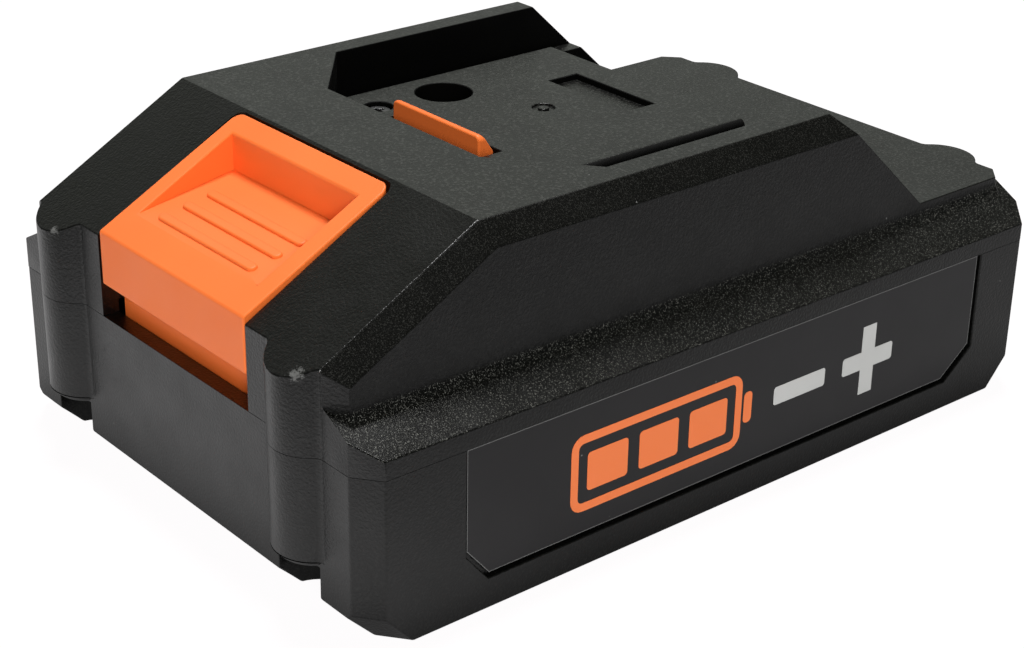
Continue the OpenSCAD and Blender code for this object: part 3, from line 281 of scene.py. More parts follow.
def dust(tree, place, colour):
    specks = add_node(
        tree, "ShaderNodeTexVoronoi", {"feature": "F1"}, Vector=place, Scale=DUST_SCALE)
    drawn = add_node(tree, "ShaderNodeSeparateColor", _0=specks.outputs["Color"]).outputs[0]
    chosen = maths(tree, "GREATER_THAN", drawn, DUST_FROM)
    middles = spread(tree, specks.outputs["Distance"], 0.012, 0.03, 0.55, 0)
    dots = maths(tree, "MULTIPLY", chosen, middles)
    return blend_colours(tree, dots, colour, DUST_GREY)


def grained_plastic(name, dark, light, grain, roughness, grain_and_glints=None, scuffs=()):
    scale, detail, depth = grain
    material, tree, place, shader = finish_tree(name)
    tint = blend_colours(tree, noise(tree, place, CLOUD_SCALE, 3), (*dark, 1), (*light, 1))
    pits = noise(tree, place, scale, detail, 0.6)
    # Bright specks in the colour: faint grain on the plain shell, painted glints and sparkle on the
    # coarse, strip and deck finishes.
    if grain_and_glints:
        tint = blend_colours(tree, spread(tree, pits, *grain_and_glints[:2], 0, 1), tint, (*grain_and_glints[2], 1))
    tint = dust(tree, place, tint)
    for x, y, z, reach in scuffs:
        away = add_node(tree, "ShaderNodeVectorMath", {"operation": "DISTANCE"}, _0=place,
                        _1=(x * MM, y * MM, z * MM)).outputs["Value"]
        near = spread(tree, away, 0, reach * MM, 0.62, 0)
        torn = maths(tree, "ADD", near, noise(tree, place, TEAR_SCALE, 3, 0.7))
        worn = spread(tree, torn, 0.84, 1.02, 0, 0.7)
        tint = blend_colours(tree, worn, tint, SCUFF_GREY)
    tree.links.new(tint, shader.inputs["Base Color"])
    rough = spread(tree, noise(tree, place, GLOSS_SCALE, 4), 0.3, 0.7, *roughness)
    tree.links.new(rough, shader.inputs["Roughness"])
    swell = bump(tree, shader, noise(tree, place, SWELL_SCALE, 2), 0.12, 0.16)
    bump(tree, shader, pits, 1.0, depth, swell)
    return material


# %% Plastics
SCUFFS = ((27.8, -57.1, 31.2, 2.0), (-22.9, -57.6, 30.8, 1.5))
shell_black = grained_plastic(
    "housing_black", (0.0014, 0.0014, 0.0013), (0.0024, 0.0024, 0.0022), (2900, 1, 0.055),
    (0.3, 0.38), (0.5, 0.72, (0.0065, 0.0065, 0.006)), SCUFFS)
# Level faces: a copy of the black with brighter specks that are painted sparkle.
deck_black_painted_sparkle = grained_plastic(
    "housing_black_deck_painted_sparkle", (0.001, 0.001, 0.0009), (0.0016, 0.0016, 0.0015), (2900, 1, 0.055),
    (0.3, 0.38), (0.52, 0.68, (0.03, 0.03, 0.028)))
# Painted shade: a darker, duller copy of the black for the walls of the rail recess.
recess_black_painted_shade = grained_plastic(
    "housing_black_recess_painted_shade", (0.0012, 0.0012, 0.0011), (0.002, 0.002, 0.0018), (2900, 1, 0.03),
    (0.62, 0.72))
RECESS_SHADE_MIRROR = 0.15
recess_shade_shader = recess_black_painted_shade.node_tree.nodes["Principled BSDF"]
recess_shade_shader.inputs["Specular IOR Level"].default_value = RECESS_SHADE_MIRROR
# Painted glints: the bright specks of the coarse and strip finishes stand in for the sparkle of
# their grain.
coarse_black_painted_glints = grained_plastic(
    "housing_black_coarse_painted_glints", (0.0012, 0.0012, 0.001), (0.002, 0.002, 0.0017), (6200, 1, 0.02),
    (0.28, 0.34), (0.57, 0.72, (0.125, 0.125, 0.112)))
strip_black_painted_glints = grained_plastic(
    "housing_black_strip_painted_glints", (0.0012, 0.0012, 0.001), (0.002, 0.002, 0.0017), (6200, 1, 0.02),
    (0.28, 0.34), (0.52, 0.76, (0.026, 0.026, 0.0235)))
# Painted highlight: pale grey for the thin rounds of the edges beside the front slope.
edge_painted_highlight = grained_plastic(
    "housing_black_edge_painted_highlight", (0.16, 0.16, 0.156), (0.3, 0.3, 0.293), (2500, 1, 0.012), (0.24, 0.34))
orange = grained_plastic(
    "latch_orange", (0.93, 0.175, 0.03), (0.98, 0.212, 0.042), (5200, 2, 0.008), (0.48, 0.56))
PLASTICS = (shell_black, deck_black_painted_sparkle, recess_black_painted_shade, coarse_black_painted_glints, strip_black_painted_glints, edge_painted_highlight, orange)
print("plastics:", [m.name for m in PLASTICS])

# %% [markdown]
# ## Moulded copies
# A moulded shell has no knife edges. Each piece starts as a merged copy of its CAD mesh, flat
# triangles are joined into whole faces, and the sharp edges that are left get a small round. A
# bevel modifier would do the same to every edge, but here the edges can be chosen by place. Steep
# edges without a round are marked sharp, so that the shading doesn't run across them.

# %% Copying and rounding
MERGE, FLAT, SHARP = 2e-6, math.radians(0.6), math.radians(24)
UNROUNDED = math.radians(52)
FACE_WEIGHT = 80
X, Z = 0, 2


def merged_copy(node):
    bm = bmesh.new()
    bm.from_mesh(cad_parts[node].data)
    bmesh.ops.remove_doubles(bm, verts=bm.verts, dist=MERGE)
    bmesh.ops.dissolve_limit(bm, angle_limit=FLAT, verts=bm.verts, edges=bm.edges, delimit=set())
    for edge in bm.edges:
        edge.smooth = not edge.is_manifold or edge.calc_face_angle() < SHARP
    return bm


def middle_of(edge):
    return (edge.verts[0].co + edge.verts[1].co) / 2 / MM


def span(edge, axis):
    return abs(edge.verts[0].co[axis] - edge.verts[1].co[axis]) / MM


def sharp_edges(bm, chosen=lambda middle, edge: True):
    return [e for e in bm.edges
            if e.is_manifold and e.is_convex and e.calc_face_angle() > SHARP
            and chosen(middle_of(e), e)]


def round_edges(bm, edges, radius, segments=2):
    made = bmesh.ops.bevel(
        bm, geom=edges, offset=radius * MM, offset_type="OFFSET", affect="EDGES", segments=segments,
        profile=0.5, material=-1, clamp_overlap=False, loop_slide=True)
    for face in made["faces"]:
        for edge in face.edges:
            edge.smooth = True
    bm.normal_update()
    return made["faces"]


def finished(bm, name, materials, replaced=(), body="pack"):
    for edge in bm.edges:
        if edge.is_manifold and edge.calc_face_angle() > UNROUNDED:
            edge.smooth = False
    mesh = bpy.data.meshes.new(name)
    bm.to_mesh(mesh)
    bm.free()
    for material in materials:
        mesh.materials.append(material)
    mesh.polygons.foreach_set("use_smooth", [True] * len(mesh.polygons))
    made = bpy.data.objects.new(name, mesh)
    bpy.context.scene.collection.objects.link(made)
    even = made.modifiers.new("flat_faces", "WEIGHTED_NORMAL")
    even.mode = "FACE_AREA"
    even.weight = FACE_WEIGHT
    even.keep_sharp = True
    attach(made, body)
    if replaced:
        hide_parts(*replaced)
    print(name, "faces:", len(mesh.polygons))
    return made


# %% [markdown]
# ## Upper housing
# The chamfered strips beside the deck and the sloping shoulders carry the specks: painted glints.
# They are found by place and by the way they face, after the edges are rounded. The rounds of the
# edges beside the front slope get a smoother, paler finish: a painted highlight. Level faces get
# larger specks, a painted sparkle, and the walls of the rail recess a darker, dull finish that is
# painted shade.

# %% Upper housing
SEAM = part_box("upper_housing")[0].z / MM
DECK_HALF, FRONT_EDGE, SHOULDER_LOW, BLEND_TOP = 30.0, -34.25, 23.4, 28.4
SLOT_HALF, SLOT_BACK, RECESS_HALF = 15.9, -34.8, 26.6
BLEND_FRONT, BLEND_LOW, BLEND_HIGH, COLUMN_FRONT = -52, 25, 29, -55.3
END_Y, BLUNT = 55.4, 0.54
SHELL_ROUND, HIGHLIGHT_ROUND, SEAM_ROUND = 0.15, 0.13, 0.05
LEVEL, SLOPED, UPRIGHT = 0.95, 0.3, 0.7
NEAR, CLOSE = 0.1, 0.05
FINE, COARSE, STRIP, EDGE_HIGHLIGHT, DECK, RECESS_SHADE = range(6)


def on_seam(middle):
    return abs(middle.z - SEAM) < CLOSE


def on_upper(middle, edge):
    in_slot = abs(middle.x) < SLOT_HALF + NEAR and middle.y < SLOT_BACK + NEAR
    blended = middle.y < BLEND_FRONT and BLEND_LOW < middle.z < BLEND_HIGH
    in_blend = abs(middle.x) > DECK_HALF and (blended or middle.y < COLUMN_FRONT)
    near_end = abs(middle.y) > END_Y and edge.calc_face_angle() < BLUNT
    return not (on_seam(middle) or in_slot or in_blend or near_end)


def beside_front(edge):
    return all(abs(abs(v.co.x) - DECK_HALF * MM) < NEAR * MM and v.co.y < FRONT_EDGE * MM
               and v.co.z > BLEND_HIGH * MM for v in edge.verts)


bm = merged_copy("upper_housing")
# The rounds beside the front slope get the painted highlight.
painted_highlight = round_edges(bm, [e for e in sharp_edges(bm) if beside_front(e)], HIGHLIGHT_ROUND)
print("rubbed faces:", len(painted_highlight))
round_edges(bm, sharp_edges(bm, on_upper), SHELL_ROUND)
round_edges(bm, sharp_edges(bm, lambda middle, edge: on_seam(middle)), SEAM_ROUND)
for face in bm.faces:
    middle = face.calc_center_median() / MM
    outside = abs(middle.x) > DECK_HALF - CLOSE and middle.z > SHOULDER_LOW
    in_recess = abs(middle.x) < RECESS_HALF + NEAR and middle.y > FRONT_EDGE
    if outside and SLOPED < face.normal.z < LEVEL:
        face.material_index = STRIP if middle.z > BLEND_TOP else COARSE
    elif face.normal.z > LEVEL:
        face.material_index = DECK
    # Painted shade on the upright walls of the rail recess.
    elif in_recess and abs(face.normal.x) > UPRIGHT:
        face.material_index = RECESS_SHADE
# Painted highlight on these rounds.
for face in (f for f in painted_highlight if f.is_valid):
    face.material_index = EDGE_HIGHLIGHT
shell_finishes = [shell_black, coarse_black_painted_glints, strip_black_painted_glints, edge_painted_highlight, deck_black_painted_sparkle, recess_black_painted_shade]
finished(bm, "upper_shell", shell_finishes, ["upper_housing"])

# %% [markdown]
# ## Lower tray
# The tray is the same plastic with the even grain everywhere.

# %% Lower tray
TRAY_ROUND = 0.22
bm = merged_copy("lower_housing")
round_edges(bm, sharp_edges(bm, lambda middle, edge: not on_seam(middle)), TRAY_ROUND)
round_edges(bm, sharp_edges(bm, lambda middle, edge: on_seam(middle)), SEAM_ROUND)
finished(bm, "lower_tray", [shell_black], ["lower_housing"])

# %% [markdown]
# ## Rail cover
# The raised plate between the rails is a separate moulding that is screwed on from above. Its top
# and the round gate mark have the finish of the deck with its painted sparkle, and its sides the
# dark, dull painted shade of the recess.

# %% Rail cover
MARK_REACH = 3.0
bm = merged_copy("rail_cover")
round_edges(bm, sharp_edges(bm), SHELL_ROUND)
for face in bm.faces:
    middle = face.calc_center_median() / MM
    on_mark = math.hypot(middle.x, middle.y) < MARK_REACH
    # The sides get the painted shade of the recess.
    face.material_index = 0 if face.normal.z > LEVEL or on_mark else 1
finished(bm, "rail_cover_plate", [deck_black_painted_sparkle, recess_black_painted_shade], ["rail_cover"])

# %% [markdown]
# ## Release button
# The orange latch is one moulding: thumb button, tongue and the arm between them. Its edges are
# rounder than those of the shell, because the thumb rests on it.

# %% Release button
BUTTON_ROUND = 0.3
bm = merged_copy("release_latch")
round_edges(bm, sharp_edges(bm), BUTTON_ROUND, 3)
finished(bm, "release_button", [orange], ["release_latch"], "release")

# %% [markdown]
# ## Label plates
# A thin film plate lies in a sunk field on each side. Its rim carries a painted highlight: a pale
# line round the plate. The print is a plain battery sign with charge bars and the two pole signs.
# It could be painted by a texture, but as thin raised shapes it keeps a crisp edge from close up.

# %% Label plates
LABEL_FACE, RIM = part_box("label_right")[1].x / MM, 0.1
label_film = grained_plastic(
    "label_film", (0.0062, 0.0056, 0.0064), (0.0078, 0.0072, 0.008), (6000, 1, 0.006), (0.3, 0.36))
# Painted highlight: a pale grey for the thin rim round the label plate.
label_rim_painted_highlight = grained_plastic(
    "label_rim_painted_highlight", (0.08, 0.08, 0.08), (0.14, 0.14, 0.137), (3000, 1, 0.01), (0.3, 0.4))
for side, sign in (("right", 1), ("left", -1)):
    bm = merged_copy("label_" + side)
    outer = [f for f in bm.faces if f.normal.x * sign > LEVEL]
    rim = bmesh.ops.inset_region(bm, faces=outer, thickness=RIM * MM, use_even_offset=True)["faces"]
    for face in rim:
        face.material_index = 1
    finished(bm, "label_plate_" + side, [label_film, label_rim_painted_highlight], ["label_" + side])

# %% [markdown]
# The signs are drawn flat as seen from the right side, thickened a little, and turned half round
# the upright axis for the other side.

# %% Label print
PRINT_RAISE = 0.03
CASE, CASE_CORNER, CASE_LINE = (-26.7, 0.8, 7.4, 17.4), 1.8, 1.1
KNOB, KNOB_CORNER = (1.2, 2.6, 10.3, 14.5), 0.6
BAR_STARTS, BAR_W, BAR_LOW, BAR_HIGH, BAR_CORNER = (-24.2, -16.1, -8.0), 6.3, 9.9, 14.9, 0.5
STROKE_LOW, STROKE_HIGH, STROKE_CORNER = 11.05, 13.55, 0.4
PLUS_LOW, PLUS_HIGH, PLUS_LEFT, PLUS_RIGHT = 7.5, 17.1, 22.45, 24.95
print_orange = grained_plastic(
    "print_orange", (0.80, 0.17, 0.035), (0.88, 0.20, 0.05), (5200, 1, 0.006), (0.4, 0.5))
print_grey = grained_plastic(
    "print_grey", (0.46, 0.46, 0.45), (0.55, 0.55, 0.54), (5200, 1, 0.006), (0.4, 0.5))


def flat_panel(bm, u0, u1, v0, v1, corner=0.0):
    made = bmesh.ops.create_grid(bm, x_segments=1, y_segments=1, size=0.5)["verts"]
    bmesh.ops.scale(bm, verts=made, vec=((u1 - u0) * MM, (v1 - v0) * MM, 1))
    bmesh.ops.translate(bm, verts=made, vec=((u0 + u1) / 2 * MM, (v0 + v1) / 2 * MM, 0))
    face = made[0].link_faces[0]
    if corner:
        rounded = bmesh.ops.bevel(
            bm, geom=made, offset=corner * MM, offset_type="OFFSET", affect="VERTICES", segments=5,
            profile=0.5, material=-1)
        face = rounded["verts"][0].link_faces[0]
    return face


def battery_sign(bm):
    case = flat_panel(bm, *CASE, CASE_CORNER)
    bmesh.ops.inset_region(
        bm, faces=[case], thickness=CASE_LINE * MM, use_even_offset=True, use_boundary=True)
    bmesh.ops.delete(bm, geom=[case], context="FACES_ONLY")
    flat_panel(bm, *KNOB, KNOB_CORNER)
    for start in BAR_STARTS:
        flat_panel(bm, start, start + BAR_W, BAR_LOW, BAR_HIGH, BAR_CORNER)


def pole_signs(bm):
    for left, right in ((6.5, 15.7), (19.0, 28.4)):
        flat_panel(bm, left, right, STROKE_LOW, STROKE_HIGH, STROKE_CORNER)
    for low, high in ((STROKE_HIGH, PLUS_HIGH), (PLUS_LOW, STROKE_LOW)):
        flat_panel(bm, PLUS_LEFT, PLUS_RIGHT, low, high)


def printed(draw, name, material, side, sign):
    bm = bmesh.new()
    draw(bm)
    bmesh.ops.recalc_face_normals(bm, faces=bm.faces)
    if sum(f.normal.z for f in bm.faces) < 0:
        bmesh.ops.reverse_faces(bm, faces=bm.faces)
    top = bmesh.ops.extrude_face_region(bm, geom=bm.faces[:])["geom"]
    raised = [v for v in top if isinstance(v, bmesh.types.BMVert)]
    bmesh.ops.translate(bm, verts=raised, vec=(0, 0, PRINT_RAISE * MM))
    bmesh.ops.recalc_face_normals(bm, faces=bm.faces)
    upright = Matrix(((0, 0, 1, LABEL_FACE * MM), (1, 0, 0, 0), (0, 1, 0, 0), (0, 0, 0, 1)))
    half_turn = Matrix.Rotation(0 if sign > 0 else math.pi, 4, "Z")
    bmesh.ops.transform(bm, verts=bm.verts, matrix=half_turn @ upright)
    return finished(bm, name + side, [material])


for side, sign in (("right", 1), ("left", -1)):
    printed(battery_sign, "battery_sign_", print_orange, side, sign)
    printed(pole_signs, "pole_signs_", print_grey, side, sign)

# %% [markdown]
# ## Metals
# Screws, springs, straps and terminals are bare or plated metal. Their colour drifts a little with
# a cloudy noise. A finer noise changes the roughness, and the finest one is a faint bump, so that
# no face looks like a mirror.

# %% Metals
DRIFT_SCALE, POLISH_SCALE, SCRATCH_SCALE = 220, 900, 2600


def plated_metal(name, dark, light, roughness, scratch=0.004):
    material, tree, place, shader = finish_tree(name)
    tint = blend_colours(tree, noise(tree, place, DRIFT_SCALE, 3), (*dark, 1), (*light, 1))
    tree.links.new(tint, shader.inputs["Base Color"])
    rough = spread(tree, noise(tree, place, POLISH_SCALE, 3), 0.3, 0.7, *roughness)
    tree.links.new(rough, shader.inputs["Roughness"])
    shader.inputs["Metallic"].default_value = 1.0
    bump(tree, shader, noise(tree, place, SCRATCH_SCALE, 3), 1.0, scratch)
    return material


screw_steel = plated_metal("screw_steel", (0.36, 0.37, 0.38), (0.47, 0.48, 0.49), (0.3, 0.45))
# Painted shade: the screws down in the rail-cover well get a darker copy of the screw steel.
well_steel_painted_shade = plated_metal("well_screw_steel_painted_shade", (0.12, 0.12, 0.125), (0.2, 0.2, 0.205), (0.35, 0.5))
spring_steel = plated_metal(
    "spring_steel", (0.42, 0.43, 0.44), (0.55, 0.56, 0.57), (0.2, 0.32), 0.002)
nickel = plated_metal("nickel", (0.55, 0.54, 0.51), (0.66, 0.65, 0.62), (0.24, 0.36), 0.002)
weld_grey = plated_metal("weld_grey", (0.24, 0.24, 0.235), (0.34, 0.34, 0.33), (0.4, 0.55))
tin = plated_metal("tin_plate", (0.6, 0.6, 0.6), (0.72, 0.72, 0.72), (0.25, 0.38), 0.002)
brass = plated_metal("terminal_brass", (0.62, 0.45, 0.19), (0.72, 0.54, 0.26), (0.24, 0.36), 0.002)
aluminium = plated_metal(
    "can_aluminium", (0.56, 0.57, 0.58), (0.66, 0.67, 0.68), (0.28, 0.4), 0.002)
METALS = (screw_steel, well_steel_painted_shade, spring_steel, nickel, weld_grey, tin, brass, aluminium)
print("metals:", [m.name for m in METALS])

# %% [markdown]
# ## Springs
# Two coil springs push the button up. Each starts as one ring of the wire's section and is spun
# about its axis while it climbs: slowly for the closed end turns, and faster in between.

# %% Springs
COIL_R, WIRE_R = 2.4, 0.25
COIL_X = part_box("release_springs")[1].x / MM - COIL_R - WIRE_R
COIL_Y = sum(corner.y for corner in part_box("release_springs")) / 2 / MM
COIL_LOW, COIL_TOP, PRESSED_TOP = 24.52, 30.88, 27.72
WIRE_SIDES, TURN_STEPS, END_TURNS, END_PITCH, OPEN_TURNS = 10, 28, 0.75, 0.54, 3.5


def wound_wire(bm, x, y):
    ring = bmesh.ops.create_circle(bm, segments=WIRE_SIDES, radius=WIRE_R * MM)["verts"]
    start = Vector((x + COIL_R, y, COIL_LOW + WIRE_R)) * MM
    upright = Matrix.Translation(start) @ Matrix.Rotation(math.pi / 2, 4, "X")
    bmesh.ops.transform(bm, verts=ring, matrix=upright)
    geom = ring + list({e for v in ring for e in v.link_edges})
    climb = COIL_TOP - COIL_LOW - 2 * WIRE_R - 2 * END_TURNS * END_PITCH
    closed = (END_TURNS, END_PITCH)
    for turns, pitch in (closed, (OPEN_TURNS, climb / OPEN_TURNS), closed):
        steps = round(turns * TURN_STEPS)
        made = bmesh.ops.spin(
            bm, geom=geom, cent=(x * MM, y * MM, 0), axis=(0, 0, 1),
            dvec=(0, 0, pitch * MM / TURN_STEPS), angle=steps / TURN_STEPS * 2 * math.pi,
            steps=steps)
        geom = made["geom_last"]


bm = bmesh.new()
for x in (-COIL_X, COIL_X):
    wound_wire(bm, x, COIL_Y)
bmesh.ops.remove_doubles(bm, verts=bm.verts, dist=MERGE)
bmesh.ops.holes_fill(bm, edges=[e for e in bm.edges if e.is_boundary], sides=0)
bmesh.ops.recalc_face_normals(bm, faces=bm.faces)
coils = finished(bm, "release_coils", [spring_steel], ["release_springs"])
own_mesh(coils)

# %% [markdown]
# ## Screws
# The heads and shanks are rounded copies of the CAD. The thread is a small triangle that is spun
# round the shank while it climbs. It bites a little into the plastic, as a thread-forming screw
# does.

# %% Thread
ROOT_SINK, CREST_RISE, THREAD_STEPS = 0.1, 0.28, 20
CREST_AT, RIDGE_SHARE = 0.3, 0.6


def thread(bm, x, y, low, high, radius, pitch):
    root, crest = radius - ROOT_SINK, radius + CREST_RISE
    section = [(root, 0), (crest, pitch * CREST_AT), (root, pitch * RIDGE_SHARE)]
    corners = [bm.verts.new(((x + r) * MM, y * MM, (low + z) * MM)) for r, z in section]
    sides = [bm.edges.new((corners[i], corners[(i + 1) % 3])) for i in range(3)]
    steps = int((high - low) / pitch * THREAD_STEPS)
    made = bmesh.ops.spin(
        bm, geom=corners + sides, cent=(x * MM, y * MM, 0), axis=(0, 0, 1),
        dvec=(0, 0, pitch * MM / THREAD_STEPS), angle=steps / THREAD_STEPS * 2 * math.pi,
        steps=steps)
    last = [e for e in made["geom_last"] if isinstance(e, bmesh.types.BMEdge)]
    ends = bmesh.ops.holes_fill(bm, edges=sides + last, sides=3)["faces"]
    ridge = {f for v in corners for f in v.link_faces} | set(ends)
    while True:
        more = {f for face in ridge for e in face.edges for f in e.link_faces} - ridge
        if not more:
            break
        ridge |= more
    bmesh.ops.recalc_face_normals(bm, faces=list(ridge))


# %% Screws
def centre_of(node):
    low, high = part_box(node)
    return [((low.x + high.x) / 2 / MM, (low.y + high.y) / 2 / MM)]


HOUSING_PLACES = [(25.0, -53.1), (-25.0, -53.1), (22.8, 53.1), (-22.8, 53.1)]
BOARD_PLACES = [(20.1, 28.5), (20.1, -28.5), (-20.1, 28.5), (-20.1, -28.5)]
# Each row: node, metal, edge round, places, foot and end of the thread, shank radius, pitch.
SCREWS = (
    ("housing_screws", screw_steel, 0.15, HOUSING_PLACES, 18.0, 26.4, 1.45, 1.4),
    ("rail_cover_screw", well_steel_painted_shade, 0.18, centre_of("rail_cover_screw"), 26.0, 30.6, 1.45, 1.4),
    ("rail_cover_small_screw", well_steel_painted_shade, 0.09, centre_of("rail_cover_small_screw"),
     27.9, 37.0, 0.8, 0.9),
    ("board_screws", screw_steel, 0.18, BOARD_PLACES, 20.4, 23.2, 0.8, 0.8))
for node, metal, radius, places, low, high, shank, pitch in SCREWS:
    bm = merged_copy(node)
    round_edges(bm, sharp_edges(bm), radius, 3)
    for x, y in places:
        thread(bm, x, y, low, high, shank, pitch)
    finished(bm, node + "_turned", [metal], [node])

# %% [markdown]
# ## Cells
# Five steel cans in a shrink sleeve. A half profile, from the bottom over the sleeve and the crimp
# groove to the raised pole, is spun once round the cell's axis. Neighbouring cells lie the other
# way round, so every second one is mirrored.

# %% Cells
sleeve = grained_plastic(
    "cell_wrap", (0.016, 0.12, 0.075), (0.024, 0.16, 0.10), (500, 2, 0.02), (0.2, 0.3))
pole_ring = grained_plastic(
    "pole_ring", (0.62, 0.62, 0.6), (0.72, 0.72, 0.70), (2500, 1, 0.004), (0.5, 0.6))
CELL_COUNT, CELL_R, CELL_STEPS = 5, 9.2, 56
CELL_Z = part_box("cell_1")[0].z / MM + CELL_R
CELL_PITCH = (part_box("cell_2")[0].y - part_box("cell_1")[0].y) / MM
BARE_END, BARE_R, POLE_END, POLE_R, RING_R = -32.4, 7.5, 30.9, 4.5, 7.35
PROFILE = (
    (-32.42, 0), (-32.42, 7.4), (-32.5, 7.6), (-32.5, 8.6), (-32.3, 9.02), (-31.9, CELL_R),
    (27.5, CELL_R), (27.9, 9.08), (28.3, 8.75), (28.8, 8.75), (29.2, 9.08), (29.6, CELL_R),
    (30.8, CELL_R), (31.18, 9.0), (31.3, 8.6), (31.3, 7.4), (31.16, 7.3), (31.16, 5.2), (31.0, 5.0),
    (31.0, 4.4), (31.5, 4.1), (32.3, 3.9), (32.5, 3.6), (32.5, 0))


def cell_y(number):
    return (number - (CELL_COUNT + 1) / 2) * CELL_PITCH


for number in range(1, CELL_COUNT + 1):
    y, way = cell_y(number), 1 if number % 2 else -1
    bm = bmesh.new()
    row = [bm.verts.new((way * x * MM, (y + r) * MM, CELL_Z * MM)) for x, r in PROFILE]
    line = [bm.edges.new(pair) for pair in zip(row, row[1:])]
    bmesh.ops.spin(bm, geom=row + line, cent=(0, y * MM, CELL_Z * MM), axis=(1, 0, 0),
                   dvec=(0, 0, 0), angle=2 * math.pi, steps=CELL_STEPS, use_merge=True)
    bmesh.ops.remove_doubles(bm, verts=bm.verts, dist=MERGE)
    bmesh.ops.recalc_face_normals(bm, faces=bm.faces)
    for face in bm.faces:
        middle = face.calc_center_median() / MM
        away, reach = math.hypot(middle.y - y, middle.z - CELL_Z), way * middle.x
        metal = (reach < BARE_END and away < BARE_R) or (reach > POLE_END and away < POLE_R)
        face.material_index = 1 if metal else 2 if reach > POLE_END and away < RING_R else 0
    finished(bm, "round_cell_%d" % number, [sleeve, nickel, pole_ring],
             ["cell_%d" % number])

# %% [markdown]
# ## Holders, insulation and straps
# Two plastic holders keep the cells apart, nickel straps join the poles, and a sheet of
# insulating paper covers them. All are plain parts, so rounded copies do. Each weld left a
# pair of small grey marks on the strap, made here as low round spots.

# %% Holders and insulation
HOLDER_ROUND, SHORTEST, PAPER_CORNER, PAPER_THIN = 0.2, 1.5, 2.0, 0.3
holder_grey = grained_plastic(
    "holder_grey", (0.055, 0.06, 0.065), (0.075, 0.08, 0.085), (1800, 2, 0.02), (0.42, 0.55))
fish_paper = grained_plastic(
    "fish_paper", (0.50, 0.44, 0.31), (0.62, 0.56, 0.42), (1500, 4, 0.03), (0.6, 0.75))
for side in ("left", "right"):
    bm = merged_copy("cell_holder_" + side)
    long_edges = sharp_edges(bm, lambda middle, edge: edge.calc_length() > SHORTEST * MM)
    round_edges(bm, long_edges, HOLDER_ROUND)
    finished(bm, "cell_rack_" + side, [holder_grey], ["cell_holder_" + side])
    bm = merged_copy("insulation_" + side)
    corners = [e for e in bm.edges if span(e, X) > PAPER_THIN]
    round_edges(bm, corners, PAPER_CORNER, 5)
    finished(bm, "paper_sheet_" + side, [fish_paper], ["insulation_" + side])

# %% Straps
STRAP_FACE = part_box("straps_right")[1].x / MM
STRAP_ROUND, STRAP_THIN = 0.12, 0.25
WELD_R, WELD_TAPER, WELD_RAISE, WELD_SET, WELD_SIDES = 0.55, 0.7, 0.06, 1.6, 16
for side, sign in (("left", -1), ("right", 1)):
    bm = merged_copy("straps_" + side)
    corners = [e for e in bm.edges if span(e, X) > STRAP_THIN and e.is_convex]
    round_edges(bm, corners, STRAP_ROUND)
    plates = len(bm.faces)
    for number in range(1, CELL_COUNT + 1):
        for set_y in (-WELD_SET, WELD_SET):
            centre = Vector((sign * STRAP_FACE, cell_y(number) + set_y, CELL_Z)) * MM
            facing = Matrix.Translation(centre) @ Matrix.Rotation(sign * math.pi / 2, 4, "Y")
            bmesh.ops.create_cone(
                bm, cap_ends=True, segments=WELD_SIDES, radius1=WELD_R * MM,
                radius2=WELD_TAPER * WELD_R * MM, depth=2 * WELD_RAISE * MM, matrix=facing)
    bm.faces.ensure_lookup_table()
    for face in bm.faces[plates:]:
        face.material_index = 1
    finished(bm, "nickel_straps_" + side, [nickel, weld_grey], ["straps_" + side])

# %% [markdown]
# ## Foam pad
# A sheet of closed-cell foam takes up the play under the holders. It is squeezed flat between
# floor and holders, and its free sides bulge, so a thin block gets almost fully rounded sides.

# %% Foam pad
BUBBLE_SCALE, PAD_CORNER, PAD_ROUND = 1900, 3.0, 0.45
foam, tree, place, shader = finish_tree("foam")
bubbles = add_node(
    tree, "ShaderNodeTexVoronoi", {"feature": "F1"}, Vector=place, Scale=BUBBLE_SCALE)
cells = bubbles.outputs["Distance"]
tint = blend_colours(tree, cells, (0.06, 0.06, 0.062, 1), (0.11, 0.11, 0.113, 1))
tree.links.new(tint, shader.inputs["Base Color"])
tree.links.new(spread(tree, cells, 0, 1, 0.95, 0.8), shader.inputs["Roughness"])
bump(tree, shader, cells, 0.8, 0.15)
pad_low, pad_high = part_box("base_pad")
bm = bmesh.new()
block = bmesh.ops.create_cube(bm, size=1)["verts"]
bmesh.ops.scale(bm, verts=block, vec=pad_high - pad_low)
bmesh.ops.translate(bm, verts=block, vec=(pad_low + pad_high) / 2)
round_edges(bm, [e for e in bm.edges if span(e, Z) > PAD_ROUND], PAD_CORNER, 6)
rims = [e for e in bm.edges if span(e, Z) < NEAR and e.calc_face_angle() > SHARP]
round_edges(bm, rims, PAD_ROUND, 4)
pad = finished(bm, "foam_pad", [foam], ["base_pad"])

# %% [markdown]
# ## Circuit board
# The board is green lacquer over copper, so the tracks show as slightly paler lines. They come from
# a blocky cell pattern. Chips, cans and screws sit on it, and the parts get their legs and end
# caps here.

